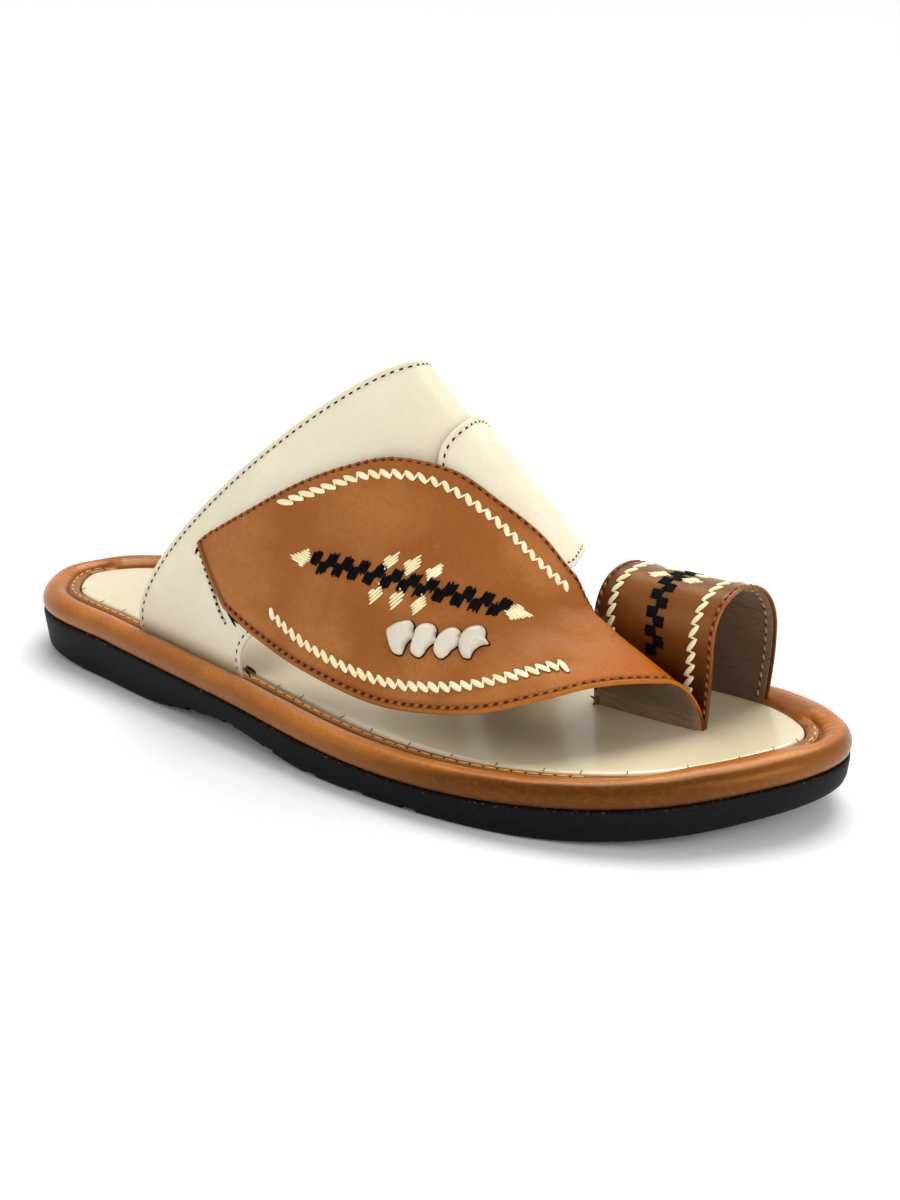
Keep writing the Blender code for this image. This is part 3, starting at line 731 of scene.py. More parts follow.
def makeOutsole():
    rings = [treadRing(2.6, 0.0), treadRing(1.7, 0.12), treadRing(1.0, 0.8), treadRing(0.4, 2.4),
             soleRing(0.0, -1.6), soleRing(0.0, -0.8), soleRing(0.2, -0.3), soleRing(0.7, 0.0)]
    points, faces = plate(rings, lambda p: soleTop(p[0]), 4)
    # dust lies in the two top rings, and the tread is inside the lowest
    joint, under = np.zeros(len(points)), np.zeros(len(points))
    outer = len(rings) * around
    joint[outer - 2 * around:outer] = 1
    under[:around] = 1
    under[outer:outer + 3 * (around // 2 - 1)] = 1
    piece = addPiece("rubberOutsole", points, faces, [rubberFinish(outsole)],
                     values={"joint": joint, "under": under})
    grooves = outsole["grooves"]
    half = grooves["width"] / 2
    for i in range(grooves["count"]):
        x = grooves["first"] + grooves["pitch"] * i
        bottom = float(soleBottom(x))
        corners = [(x + a * half, b * grooves["reach"], bottom + c) for a in (-1, 1)
                   for b in (-1, 1) for c in (-grooves["below"], grooves["depth"])]
        sides = [(0, 1, 3, 2), (4, 6, 7, 5), (0, 4, 5, 1), (2, 3, 7, 6), (0, 2, 6, 4), (1, 5, 7, 3)]
        cutter = addPiece(f"groove{i}", corners, sides, [])
        boolean = piece.modifiers.new("groove", "BOOLEAN")
        boolean.object = cutter
        bpy.context.view_layer.objects.active = piece
        with bpy.context.temp_override(object=piece, active_object=piece):
            bpy.ops.object.modifier_apply(modifier="groove")
        bpy.data.objects.remove(cutter)
    piece.data.set_sharp_from_angle(angle=math.radians(40))
    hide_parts("outsole")


# the inset and rise of the wrap's section, as a flange where the straps come down and rolled
# over elsewhere; rollFrom to toeTo are shares of the way round from the heel
rimWrap = {"light": (0.57, 0.20, 0.036), "dark": (0.43, 0.135, 0.022),
           "second": (0.075, 0.021, 0.004), "grooved": (0.16, 0.05, 0.01), "pits": 0.35,
           "tint": (1.0, 0.5, 0.14), "rough": 0.3, "gloss": 0.5, "grain": 0.85, "cells": 1.6,
           "pleats": 0.4, "pleatPitch": 4.6, "bunches": [(0.512, 0.02, 1.0), (0.0, 0.03, 0.3),
                                                         (1.0, 0.03, 0.3)],
           "waves": 0.14, "waveRuns": [(3.1, 0.4), (5.3, 2.1), (9.7, 4.0)],
           "rollFrom": (0.385, 0.435), "rollTo": (0.468, 0.497),
           "toeFrom": (0.528, 0.548), "toeTo": (0.970, 0.988),
           # place round the sole, how dark the painted shade on its outer side is and how far in that
           # reaches
           "faceShade": [(0.0, 0.5, -0.4), (0.2, 0.55, -0.4), (0.25, 0.62, -0.4), (0.29, 0.75, -0.1),
                     (0.325, 0.96, 0.7), (0.39, 0.98, 1.9), (0.43, 0.98, 2.1), (0.455, 0.85, 1.8),
                     (0.485, 0.75, 1.4), (0.52, 0.7, 0.8), (0.6, 0.6, 0.0), (1.0, 0.5, -0.4)],
           "hiddenShade": 0.85, "turnedShade": 0.42, "jointShade": 0.75, "flangeShade": 0.4,
           "joint": 8.3,
           "under": [(12.5, 0.3), (6.0, 0.3), (1.4, 0.3), (0.5, 0.7), (0.0, 1.7), (-0.15, 2.9)],
           "flanged": [(0.1, 4.2), (0.9, 5.6), (2.2, 6.7), (3.8, 7.15), (5.4, 7.0), (6.9, 6.4),
                       (7.9, 5.6), (8.3, 5.15), (8.7, 5.5), (9.4, 5.85), (10.6, 5.95),
                       (11.7, 5.85), (12.3, 5.3), (12.5, 4.4)],
           "rolled": [(0.1, 4.3), (0.9, 5.8), (2.3, 7.1), (4.2, 7.9), (6.2, 8.15), (8.1, 7.95),
                      (9.7, 7.45), (10.9, 6.9), (11.8, 6.35), (12.3, 5.8), (12.6, 5.3),
                      (12.7, 4.9), (12.65, 4.6), (12.5, 4.4)]}


def makeRim():
    shapes = []
    for kind in ("flanged", "rolled"):
        table = rimWrap["under"] + rimWrap[kind]
        shape = np.array(table + table[:1], float)
        shapes.append(smoothAt(np.arange(len(shape)), shape, np.linspace(0, len(table), 81)[:-1]))
    place = np.arange(around) / around
    rolled = 0 * place
    for first, final in (("rollFrom", "rollTo"), ("toeFrom", "toeTo")):
        (a, b), (c, d) = rimWrap[first], rimWrap[final]
        rolled += ease((place - a) / (b - a)) * (1 - ease((place - c) / (d - c)))
    shape = shapes[0][:, None] + (shapes[1] - shapes[0])[:, None] * rolled[None, :, None]
    inset, rise = shape[..., 0], shape[..., 1]
    # the wrap bunches at the toe and waves a little all along
    steps = np.linalg.norm(np.diff(soleLine, axis=0, append=soleLine[:1]), axis=1)
    run = np.cumsum(steps)
    bunched = sum(share * bell(place, at, wide) for at, wide, share in rimWrap["bunches"])
    wave = sum(np.sin(run / size + start) for size, start in rimWrap["waveRuns"]) / 3
    pleat = np.sin(2 * math.pi * run / rimWrap["pleatPitch"] + 0.8 * np.sin(run / 3.7))
    top = ease((rise - 3.0) / 3.0)
    rise = rise + top * (rimWrap["pleats"] * bunched * pleat * bell(inset, 8.6, 2.4)
                         + rimWrap["waves"] * wave * bell(inset, 4.5, 4))
    inset = inset - 0.12 * wave * ease((inset - 9) / 3) * top * rolled
    rings = [soleRing(a, b) for a, b in zip(inset, rise)]
    points = np.concatenate(rings)
    stops, faceShades, reaches = np.array(rimWrap["faceShade"]).T
    # painted shade over the outer face below the lit ridge, where it turns away from the light
    low = 1 - ease((inset - np.interp(place, stops, reaches)) / 2.4)
    low = low * (inset < 9) * np.interp(place, stops, faceShades)
    # painted shade at its hidden foot, where the big toe's side turns down away from the light,
    # and in the groove at the flange's joint and over the flange
    hidden = ease((inset - 11.9) / 0.6) * (1 - ease((rise - 5.2) / 0.5)) * rimWrap["hiddenShade"]
    turned = (rimWrap["turnedShade"] * ease((inset - 5.5) / 3) * top * rolled
              * ease((place - 0.5) / 0.03))
    joint = (rimWrap["jointShade"] * bell(inset, rimWrap["joint"], 0.6)
             + rimWrap["flangeShade"] * ease((inset - rimWrap["joint"]) / 0.6)) * (1 - rolled) * top
    tone = np.max([low, hidden, turned, joint], axis=0)
    piece = addPiece("rimWrap", points, ringQuads(len(rings), around, True),
                     [leatherFinish("rimLeather", rimWrap)],
                     values={"edge": np.full(len(points), 9.0), "tone": tone})
    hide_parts("rim")


# "shadowed" gives the middle, reach and share of each painted shadow on the insole, under the vamp and
# near the band's leg
insole = {"light": (0.84, 0.735, 0.50), "dark": (0.80, 0.69, 0.455), "second": (0.34, 0.27, 0.155),
          "rough": 0.22, "gloss": 0.45, "coat": 0.3, "coatRough": 0.1, "grain": 0.06,
          "mottle": 0.05, "wear": 0.05, "specks": 0.9, "speckScale": 0.034,
          "shadowed": [(56, -16, 26, 20, 0.85), (-33, -22, 16, 13, 0.85), (-30, -32, 9, 6, 0.6),
                      (2, -38, 24, 8, 0.6)]}


def makeInsole():
    edge = sole["rimWidth"] + sole["gap"]
    top = sole["footbed"]
    rings = [soleRing(edge, sole["gap"]), soleRing(edge, top - 0.9), soleRing(edge + 0.15, top - 0.5),
             soleRing(edge + 0.5, top - 0.18), soleRing(edge + 1.2, top)]
    points, faces = plate(rings, lambda p: footbedTop(p[0]), 30)
    x, y = np.array(points)[:, :2].T
    # painted shadow under the vamp and near the band's leg, in the insole's second colour
    shadowed = sum(share * bell(x, a, wide) * bell(y, b, deep)
                  for a, b, wide, deep, share in insole["shadowed"]).clip(0, 1)
    piece = addPiece("insoleTop", points, faces, [leatherFinish("insoleLeather", insole)],
                     values={"edge": np.full(len(points), 9.0), "tone": shadowed})
    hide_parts("insole")


# band and strap: place over the instep, back edge and front edge
# vamp: place along and up the last of its lower edge, then of its upper edge
band = np.array([(0.0, 0.0, 1.92), (0.06, 0.0, 1.9), (0.12, 0.0, 2.05), (0.3, 0.0, 2.0),
                 (0.5, 0.0, 1.85), (0.65, 0.0, 1.68), (0.8, 0.0, 1.5), (1.0, 0.0, 1.42)])
strap = np.array([(0.40, 1.9, 2.9), (0.44, 1.46, 3.3), (0.48, 1.27, 3.55), (0.52, 1.19, 3.62),
                  (0.58, 1.2, 3.52), (0.68, 1.38, 3.36), (0.78, 1.66, 3.2), (0.88, 1.75, 3.2),
                  (1.0, 1.8, 3.32)])
vamp = np.array([(1.41, 0.105, 0.43, 0.165), (2.02, 0.090, 0.71, 0.228), (2.75, 0.078, 0.96, 0.302),
                 (3.41, 0.076, 1.30, 0.376), (3.95, 0.084, 1.80, 0.430), (4.42, 0.104, 2.50, 0.456),
                 (4.90, 0.135, 3.13, 0.478), (5.29, 0.180, 3.73, 0.497), (5.56, 0.228, 4.15, 0.530),
                 (5.80, 0.278, 4.45, 0.620), (6.02, 0.340, 4.70, 0.780), (6.30, 0.398, 5.00, 1.0),
                 (6.58, 0.448, 5.60, 1.0), (6.80, 0.485, 6.20, 1.0), (6.93, 0.525, 6.65, 1.0),
                 (7.00, 0.600, 7.00, 1.0)])


def strapPoint(table, feet, liftAt):
    # a strap's inner face: u from one side to the other, v from its back to its front
    def pointAt(u, v):
        u, v = np.broadcast_arrays(u, v)
        first, final = table[0, 0], table[-1, 0]

        def station(t):
            back, front = np.moveaxis(smoothAt(table[:, 0], table[:, 1:], t), -1, 0)
            return back + (front - back) * v

        start = legEnd(station(np.full(u.shape, first)), 0, soleLast) if 0 in feet else first
        end = legEnd(station(np.full(u.shape, final)), 1, soleLast) if 1 in feet else final
        t = start + (end - start) * u
        s = station(np.clip(t, first, final))
        return overLast(s, t, liftAt(s, t), soleLast)
    return pointAt


def strapLift(s, t):
    return upper["layer"] * (1 - ease((t - 0.76) / 0.14))


def vampLift(s, t):
    layer = upper["layer"]
    base = layer * (1 - ease((s - 2.6) / 1.6))
    front = 3.7 + 7 * np.minimum(t - 0.5, 0)
    over = ease((t - 0.31) / 0.08) * ease((s - 1.1) / 0.4) * (1 - ease((s - front) / 0.8))
    return base + (2 * layer - base) * over


def vampPoint(s, t, lift=0.0):
    return overLast(s, t, vampLift(s, t) + lift, slotLast)


def vampAt(u, v):
    # the vamp's inner face: u from its rear edge to the slot's front, v from its lateral edge
    # to its upper edge or down into the toe slot
    u, v = np.broadcast_arrays(u, v)
    lowS, lowT, topS, topT = np.moveaxis(
        smoothAt(np.arange(len(vamp)), vamp, u * (len(vamp) - 1)), -1, 0)
    topT = np.minimum(topT, 1.0)
    drop = (legEnd(topS, 1, slotLast) - 1) * ease((topT - 0.55) / 0.45)
    f = np.minimum(v / 0.95, 1)
    below = np.clip((v - 0.95) / 0.05, 0, 1)
    s = lowS + (topS - lowS) * f
    t = lowT + (topT - lowT) * f + np.maximum(drop, 0.005) * below
    return vampPoint(s, t)


ring = {"width": 30.3, "rise": 39.5, "straight": 23.0, "full": 0.88, "back": 3.0, "lean": 2.5,
        "bulge": 1.4, "taper": 0.025, "flare": 2.1}


def ringPoint(f, w, rise):
    along = slotFront - slotBack
    length = np.linalg.norm(along) + ring["back"]
    along = unit(along)
    across = np.array([-along[1], along[0]])
    up = np.clip(rise / ring["rise"], 0, 1)
    bulge = ring["bulge"] * np.sin(math.pi * up) * w / ring["width"]
    flare = ring["flare"] * np.sin(math.pi / 2 * np.clip(up / 0.75, 0, 1)) * f**2
    ahead = length * f - ring["back"] - ring["lean"] * up
    ahead = ahead + flare * (1 - 0.4 * ease((up - 0.93) / 0.07))
    side = upper["layer"] + w + bulge
    x = slotBack[0] + across[0] * side + along[0] * ahead
    y = slotBack[1] + across[1] * side + along[1] * ahead
    return np.stack([x, y, footbedTop(x) + rise * (1 - ring["taper"] * f * up)], -1)


def ringPath(count):
    # the ring's inner face across the big toe, evenly spaced: near leg, arch, far leg
    near = upper["leather"]
    far = ring["width"] - near
    turn = np.linspace(0, math.pi, 121)
    crown = ring["rise"] - near - ring["straight"]
    side = np.sign(np.cos(turn)) * np.abs(np.cos(turn)) ** ring["full"]
    w = (near + far) / 2 - (far - near) / 2 * side
    rise = ring["straight"] + crown * np.sin(turn) ** ring["full"]
    foot = sole["gap"] - sole["footbed"]
    w = np.concatenate([[near, near], w, [far, far]])
    rise = np.concatenate([[foot, 0], rise, [0, foot]])
    length = runAlong(np.column_stack([w, rise]))
    even = np.linspace(0, length[-1], count)
    return np.interp(even, length, w), np.interp(even, length, rise)


ringW, ringRise = ringPath(601)


def ringAt(u, v):
    # the ring's inner face: u round the big toe from its near foot, v from back to front
    u, v = np.broadcast_arrays(u, v)
    key = np.linspace(0, 1, len(ringW))
    return ringPoint(v, np.interp(u, key, ringW), np.interp(u, key, ringRise))


creamLook = {"light": (0.90, 0.825, 0.625), "dark": (0.85, 0.765, 0.56), "second": (0.42, 0.355, 0.22),
             "edge": (0.86, 0.77, 0.57), "edgeShare": 0.3, "turned": 2.6,
             "groove": 0.35, "grooved": (0.5, 0.42, 0.27), "rough": 0.38, "gloss": 0.3,
             "grain": 0.5, "mottle": 0.15, "wear": 0.15, "specks": 0.5, "speckScale": 0.05}
brownLook = {"light": (0.45, 0.168, 0.048), "dark": (0.34, 0.11, 0.026), "second": (0.43, 0.105, 0.004),
             "edge": (0.47, 0.155, 0.02), "edgeShare": 0.8, "turned": 1.3, "raw": 0.9,
             "groove": 0.8, "grooved": (0.10, 0.03, 0.01), "rough": 0.42, "gloss": 0.16,
             "tint": (1.0, 0.52, 0.16), "grain": 0.75, "mottle": 0.28, "pits": 0.2,
             "wear": 0.3, "worn": (0.50, 0.24, 0.11)}
ringLook = dict(brownLook, light=(0.265, 0.092, 0.022), dark=(0.19, 0.06, 0.013),
                second=(0.035, 0.010, 0.003), edge=(0.36, 0.115, 0.02), turned=0.8, raw=0.6,
                rough=0.24, gloss=0.6)
puffLook = dict(creamLook, light=(0.76, 0.71, 0.58), dark=(0.66, 0.60, 0.47), edgeShare=0.0,
                rough=0.32, gloss=0.45)
liningLook = {"light": (0.27, 0.18, 0.112), "dark": (0.18, 0.112, 0.065),
              "fold": (0.07, 0.04, 0.022), "fray": (0.44, 0.35, 0.25), "border": 1.5}


def onBand(s, t):
    return overLast(s, t, upper["leather"] + 0 * s, soleLast)


# where each crease starts and ends on the last, its width and depth
bandCreases = [((0.16, 0.05), (0.40, 0.15), 2.6, 0.55), ((0.30, 0.06), (0.52, 0.13), 3.0, -0.35),
               ((0.75, 0.02), (1.05, 0.09), 2.4, 0.4), ((1.5, 0.03), (1.62, 0.08), 2.0, 0.35)]
vampCreases = [((3.55, 0.417), (4.98, 0.483), 3.4, -0.5), ((4.3, 0.385), (5.6, 0.470), 3.6, 0.55),
               ((0.58, 0.165), (0.95, 0.252), 1.1, 0.35), ((5.0, 0.30), (5.7, 0.42), 3.0, 0.4),
               ((2.3, 0.36), (3.3, 0.375), 4.5, -0.35)]


def makeUpper():
    cream = leatherFinish("creamLeather", creamLook)
    brown = leatherFinish("brownLeather", brownLook)
    ringBrown = leatherFinish("ringLeather", ringLook)
    lining = liningFinish(liningLook)
    made = {}
    shapes = {
        "instepBand": (strapPoint(band, (0, 1), lambda s, t: 0 * s), 230, 90, (False, False),
                       cream, "instep_band", "cream_upper_leather"),
        "medialStrap": (strapPoint(strap, (1,), strapLift), 150, 60, (True, False),
                        cream, "medial_strap", "cream_upper_leather"),
        "vampPanel": (vampAt, 230, 130, (True, True), brown, "vamp_panel", "brown_vamp_leather"),
        "toeRing": (ringAt, 150, 70, (False, False), ringBrown, "toe_ring", "brown_ring_leather"),
    }

    def lines(table, pointAt):
        return [(pointAt(*np.array(start)), pointAt(*np.array(end)), width, depth)
                for start, end, width, depth in table]

    for name, (pointAt, rows, cols, openRows, finish, node, slot) in shapes.items():
        u, v, edgeU, edgeV = gridOf(pointAt, rows, cols, openRows)
        base = pointAt(u, v)
        height = base[..., 2] - footbedTop(base[..., 0])
        tone, warm = 0 * u, 1 + 0 * u  # where the second colour and the turned edge show
        creases, seam = (), leather["seam"]
        if name == "vampPanel":
            # the upper edge ends where the panel goes down into the toe slot
            topT = smoothAt(np.arange(len(vamp)), vamp[:, 3], u * (len(vamp) - 1))[..., 0]
            edgeV = edgeV + 9 * ease((topT - 0.93) / 0.07) * (v > 0.5)
            lower = (v < 0.5) * ease((u - 0.04) / 0.1) * (0.35 + 0.65 * ease((u - 0.2) / 0.3))
            warm = np.maximum(lower, ease((u - 0.55) / 0.2)) * ease((height - 3) / 4)
            tone = ease((u - 0.48) / 0.3) * ease((height - 2) / 6)
            creases = lines(vampCreases, vampPoint)
        elif name == "toeRing":
            # painted shade: darker towards the ring's foot and over its back part
            tone = np.maximum(1 - ease((height - 6) / 38),
                              0.8 * (1 - ease(v / 0.3)) * (1 - ease((height - 28) / 18)))
            warm = (v > 0.5) * (1 - 0.5 * tone)
            seam = leather["ringSeam"]
        elif name == "instepBand":
            # painted shade: darker at the band's foot by the insole and over its lower part
            tone = 0.6 * (1 - ease(height / 6)) + 0.25 * (1 - ease((height - 4) / 26))
            creases = lines(bandCreases, onBand)
        piece, *faces = makeShell(name, base, np.minimum(edgeU, edgeV), [finish, lining],
                                  {"tone": tone, "warm": warm}, creases, name != "vampPanel", seam)
        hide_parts(node)
        made[name] = faces
        print("sandal:", name)
    return made


def outside(pointAt, flip):
    # the leather's outer face and its normal at u and v
    def surfaceAt(u, v):
        step = 1e-3
        alongU = pointAt(u + step, v) - pointAt(u - step, v)
        alongV = pointAt(u, v + step) - pointAt(u, v - step)
        normal = unit(np.cross(alongU, alongV)) * (-1 if flip else 1)
        return pointAt(u, v), normal
    return surfaceAt


def drawnLine(surfaceAt, stops):
    # a smooth line through u, v stops. It gives the place on the leather that is so far along
    # the line and so far to the left of it.
    stops = np.array(stops, float)
    fine = smoothAt(np.arange(len(stops)), stops, np.linspace(0, len(stops) - 1, 500))
    points = surfaceAt(fine[:, 0], fine[:, 1])[0]
    length = runAlong(points)
    headings = unit(np.gradient(points, axis=0))

    def place(along, across):
        along, across = np.broadcast_arrays(np.asarray(along, float), np.asarray(across, float))
        u, v = (np.interp(along, length, fine[:, i]) for i in (0, 1))
        heading = np.stack([np.interp(along, length, headings[:, i]) for i in range(3)], -1)
        here, normal = surfaceAt(u, v)
        beyond = along - np.clip(along, 0, length[-1])
        move = unit(np.cross(normal, heading)) * across[..., None] + heading * beyond[..., None]
        step = 1e-3
        alongU = (surfaceAt(u + step, v)[0] - here) / step
        alongV = (surfaceAt(u, v + step)[0] - here) / step
        a, b, c = ((x * y).sum(-1) for x, y in ((alongU, alongU), (alongU, alongV),
                                                (alongV, alongV)))
        p, q = (alongU * move).sum(-1), (alongV * move).sum(-1)
        size = a * c - b * b
        return surfaceAt(u + (c * p - b * q) / size, v + (a * q - b * p) / size)
    return place, length[-1]


def drawnStrands(name, place, starts, ends, width, height, finish, sink=0.3, steps=6, point=0.55):
    # threads between places that are measured along and across a drawn line
    spots = straight(starts, ends, steps)
    points, normals = place(spots[..., 0], spots[..., 1])
    strands(name, points, normals, width, height, finish, sink, 0.1, point)


def satin(corners, angle, pitch, ragged):
    # threads that fill a flat shape side by side, at an angle in degrees
    corners = np.array(corners, float)
    turn = math.radians(angle)
    run = np.array([math.cos(turn), math.sin(turn)])
    over = np.array([-run[1], run[0]])
    heights = corners @ over
    count = max(int(round((heights.max() - heights.min()) / pitch)), 2)
    starts, ends = [], []
    for i in range(count):
        level = heights.min() + (heights.max() - heights.min()) * (i + 0.5) / count
        hits = []
        for j in range(len(corners)):
            a, b = corners[j], corners[(j + 1) % len(corners)]
            ha, hb = heights[j], heights[(j + 1) % len(corners)]
            if (ha - level) * (hb - level) < 0:
                hits.append((a + (b - a) * (level - ha) / (hb - ha)) @ run)
        if len(hits) >= 2:
            low, high = min(hits) - ragged * draws.random(), max(hits) + ragged * draws.random()
            if high - low > 0.5:
                starts.append(run * low + over * level)
                ends.append(run * high + over * level)
    return starts, ends


def fillShapes(name, place, shapes, look, finish):
    filled = [satin(corners, look["angle"], look["thread"], look["ragged"]) for corners in shapes]
    starts, ends = ([spot for one in filled for spot in one[i]] for i in (0, 1))
    drawnStrands(name, place, starts, ends, look["width"], look["height"], finish, 0.25,
                 look["steps"], look["point"])


def rope(name, place, length, look, finish, hole):
    # a row of wide slanted stitches, thin links between them and a needle hole at each end
    count = look["count"]
    share = np.linspace(0, 1, count)
    share = share + look["warp"] * share * (1 - share)
    middle = look["first"] + (length - 2 * look["first"]) * share + 0.3 * (draws.random(count) - 0.5)
    turn = np.interp(share, np.linspace(0, 1, len(look["slant"])), look["slant"])
    turn = np.radians(turn) * (0.93 + 0.14 * draws.random(count))
    size = np.interp(share, np.linspace(0, 1, len(look["size"])), look["size"])
    size = size * (0.94 + 0.12 * draws.random(count))
    reach = np.stack([np.cos(turn) * size, -np.sin(turn) * size], 1) / 2
    centre = np.stack([middle, np.zeros(count)], 1)
    starts, ends = centre - reach, centre + reach
    width = look["width"] * (0.93 + 0.14 * draws.random(count))
    drawnStrands(name, place, starts, ends, width, look["height"], finish, 0.25, 9, 0.7)
    drawnStrands(name + "Links", place, ends[:-1] - reach[:-1] * 0.1, starts[1:] + reach[1:] * 0.1,
                 look["link"], look["link"] * 0.7, finish, 0.35, 5)
    # dark outline of the needle holes under both ends of every stitch
    for end, points, sign in (("Back", starts, -1), ("Front", ends, 1)):
        over = reach * 0.3 * sign
        drawnStrands(name + end + "Holes", place, points - over, points + over * 0.3,
                     look["width"] * 0.62, 0.2, hole, 0.3, 5, 0.6)


threadLooks = {
    "creamThread": {"light": (1.0, 0.97, 0.70), "dark": (0.93, 0.82, 0.48), "rough": 0.5},
    "satinThread": {"light": (1.0, 0.97, 0.66), "dark": (0.93, 0.82, 0.44), "rough": 0.5},
    "blackThread": {"light": (0.007, 0.006, 0.008), "dark": (0.002, 0.002, 0.003), "rough": 0.6,
                    "gloss": 0.06, "sheen": 0.0},
    "brownThread": {"light": (0.42, 0.12, 0.026), "dark": (0.25, 0.06, 0.012), "gloss": 0.12,
                    "sheen": 0.0},
    "rimThread": {"light": (0.90, 0.52, 0.14), "dark": (0.72, 0.36, 0.08)},
    "shadeThread": {"light": (0.40, 0.32, 0.2), "dark": (0.24, 0.18, 0.1)},
    "paleThread": {"light": (0.86, 0.80, 0.64), "dark": (0.72, 0.65, 0.48)},
}
holeLooks = {"needleHoleAndShadow": {"light": (0.05, 0.02, 0.012), "dark": (0.02, 0.008, 0.005)},
             "brownHole": {"light": (0.10, 0.03, 0.012), "dark": (0.04, 0.012, 0.006)}}

# the vamp's ropes, chain and satin stitches, and the lines that they follow on the last
upperRope = {"count": 28, "first": 1.6, "slant": (24, 40, 40), "size": (6.0, 3.7, 3.5),
             "width": 1.75, "height": 0.95, "link": 0.6, "warp": 0.1}
lowerRope = dict(upperRope, count=31, slant=(33, 36, 52), size=(4.1, 4.4, 4.8))
vampChain = {"first": 10.2, "pitch": 5.4, "squares": 12, "wide": 3.2, "tall": 2.9, "top": 0.75,
             "low": -1.65, "angle": 74, "thread": 0.5, "ragged": 1.05, "width": 0.625,
             "height": 0.5, "steps": 5, "point": 0.2}
satinLook = {"grow": 0.95, "angle": 52, "thread": 0.74, "ragged": 0.5, "width": 0.8,
             "height": 0.6, "steps": 6, "point": 0.5}
vampLines = {"upperRope": [(0.97, 0.256), (1.07, 0.279), (1.19, 0.307), (1.30, 0.339),
                           (1.47, 0.366), (1.66, 0.388), (1.87, 0.405), (2.09, 0.416),
                           (2.35, 0.425), (2.73, 0.434), (3.14, 0.443), (3.53, 0.458),
                           (3.95, 0.483)],
             "lowerRope": [(2.05, 0.138), (2.55, 0.125), (2.98, 0.120), (3.36, 0.122),
                           (3.68, 0.131), (3.98, 0.145), (4.26, 0.165), (4.53, 0.191),
                           (4.75, 0.221), (4.94, 0.262), (5.10, 0.307), (5.25, 0.345),
                           (5.42, 0.362)],
             "vampChain": [(1.65, 0.214), (1.98, 0.232), (2.30, 0.249), (2.61, 0.265),
                           (2.89, 0.283), (3.15, 0.304), (3.38, 0.327), (3.61, 0.353),
                           (3.86, 0.380), (4.15, 0.406)]}
# corners along the chain's line and to its left: two at its ends, three above, three below
diamonds = [
    [(0.1, 0.2), (7.2, 3.1), (8.1, 0.2), (5.6, -2.6)],
    [(69.7, -0.9), (72.9, 2.3), (78.4, 0.0), (71.9, -3.5)],
    [(31.7, 4.5), (35.6, 7.9), (36.1, 4.7), (33.2, 1.8)],
    [(38.1, 4.9), (42.2, 8.2), (43.0, 4.8), (40.0, 1.4)],
    [(45.0, 4.4), (49.4, 7.8), (49.7, 4.6), (46.5, 1.6)],
    [(30.1, -5.6), (33.7, -2.9), (34.5, -5.5), (31.3, -9.6)],
    [(36.8, -5.4), (40.2, -2.6), (41.0, -4.8), (37.8, -9.7)],
    [(43.6, -6.1), (46.9, -2.5), (47.7, -5.2), (44.7, -9.6)],
]


def makeChain(name, place, look, finish):
    # two rows of satin squares that touch at their corners
    shapes = []
    w, h = look["wide"] / 2, look["tall"] / 2
    lean = h / math.tan(math.radians(look["angle"]))
    for row, level in enumerate((look["top"], look["low"])):
        for i in range(look["squares"] - row):
            x = look["first"] + look["pitch"] * (i + row / 2)
            shapes.append([(x - w - lean, level - h), (x + w - lean, level - h),
                           (x + w + lean, level + h), (x - w + lean, level + h)])
    fillShapes(name, place, shapes, look, finish)


def makeDiamonds(name, place, shapes, look, finish):
    # satin stitches, each shape grown a little from its middle
    shapes = [np.array(corners) for corners in shapes]
    grown = [corners.mean(0) + (corners - corners.mean(0)) * look["grow"] for corners in shapes]
    fillShapes(name, place, grown, look, finish)


def makeVampWork(finishes):
    surfaceAt = outside(lambda s, t: vampPoint(s, t, upper["leather"]), False)
    cream, satinThread = finishes["creamThread"], finishes["satinThread"]
    for name, look in (("upperRope", upperRope), ("lowerRope", lowerRope)):
        place, length = drawnLine(surfaceAt, vampLines[name])
        rope(name, place, length, look, cream, finishes["needleHoleAndShadow"])
    place, length = drawnLine(surfaceAt, vampLines["vampChain"])
    makeChain("vampChain", place, vampChain, finishes["blackThread"])
    makeDiamonds("vampEndDiamonds", place, diamonds[:2], dict(satinLook, angle=-14), satinThread)
    makeDiamonds("vampDiamonds", place, diamonds[2:], satinLook, satinThread)
    # thin links between the chain and the diamonds
    links = [((x - 0.2, 2.4), (x - 0.6, 1.5)) for x in (33.6, 40.4, 47.0)]
    links += [((x + 0.3, -3.1), (x, -2.2)) for x in (32.6, 39.2, 45.8)]
    drawnStrands("vampLinks", place, *zip(*links), 0.6, 0.5, cream, 0.2, 5)
    return place


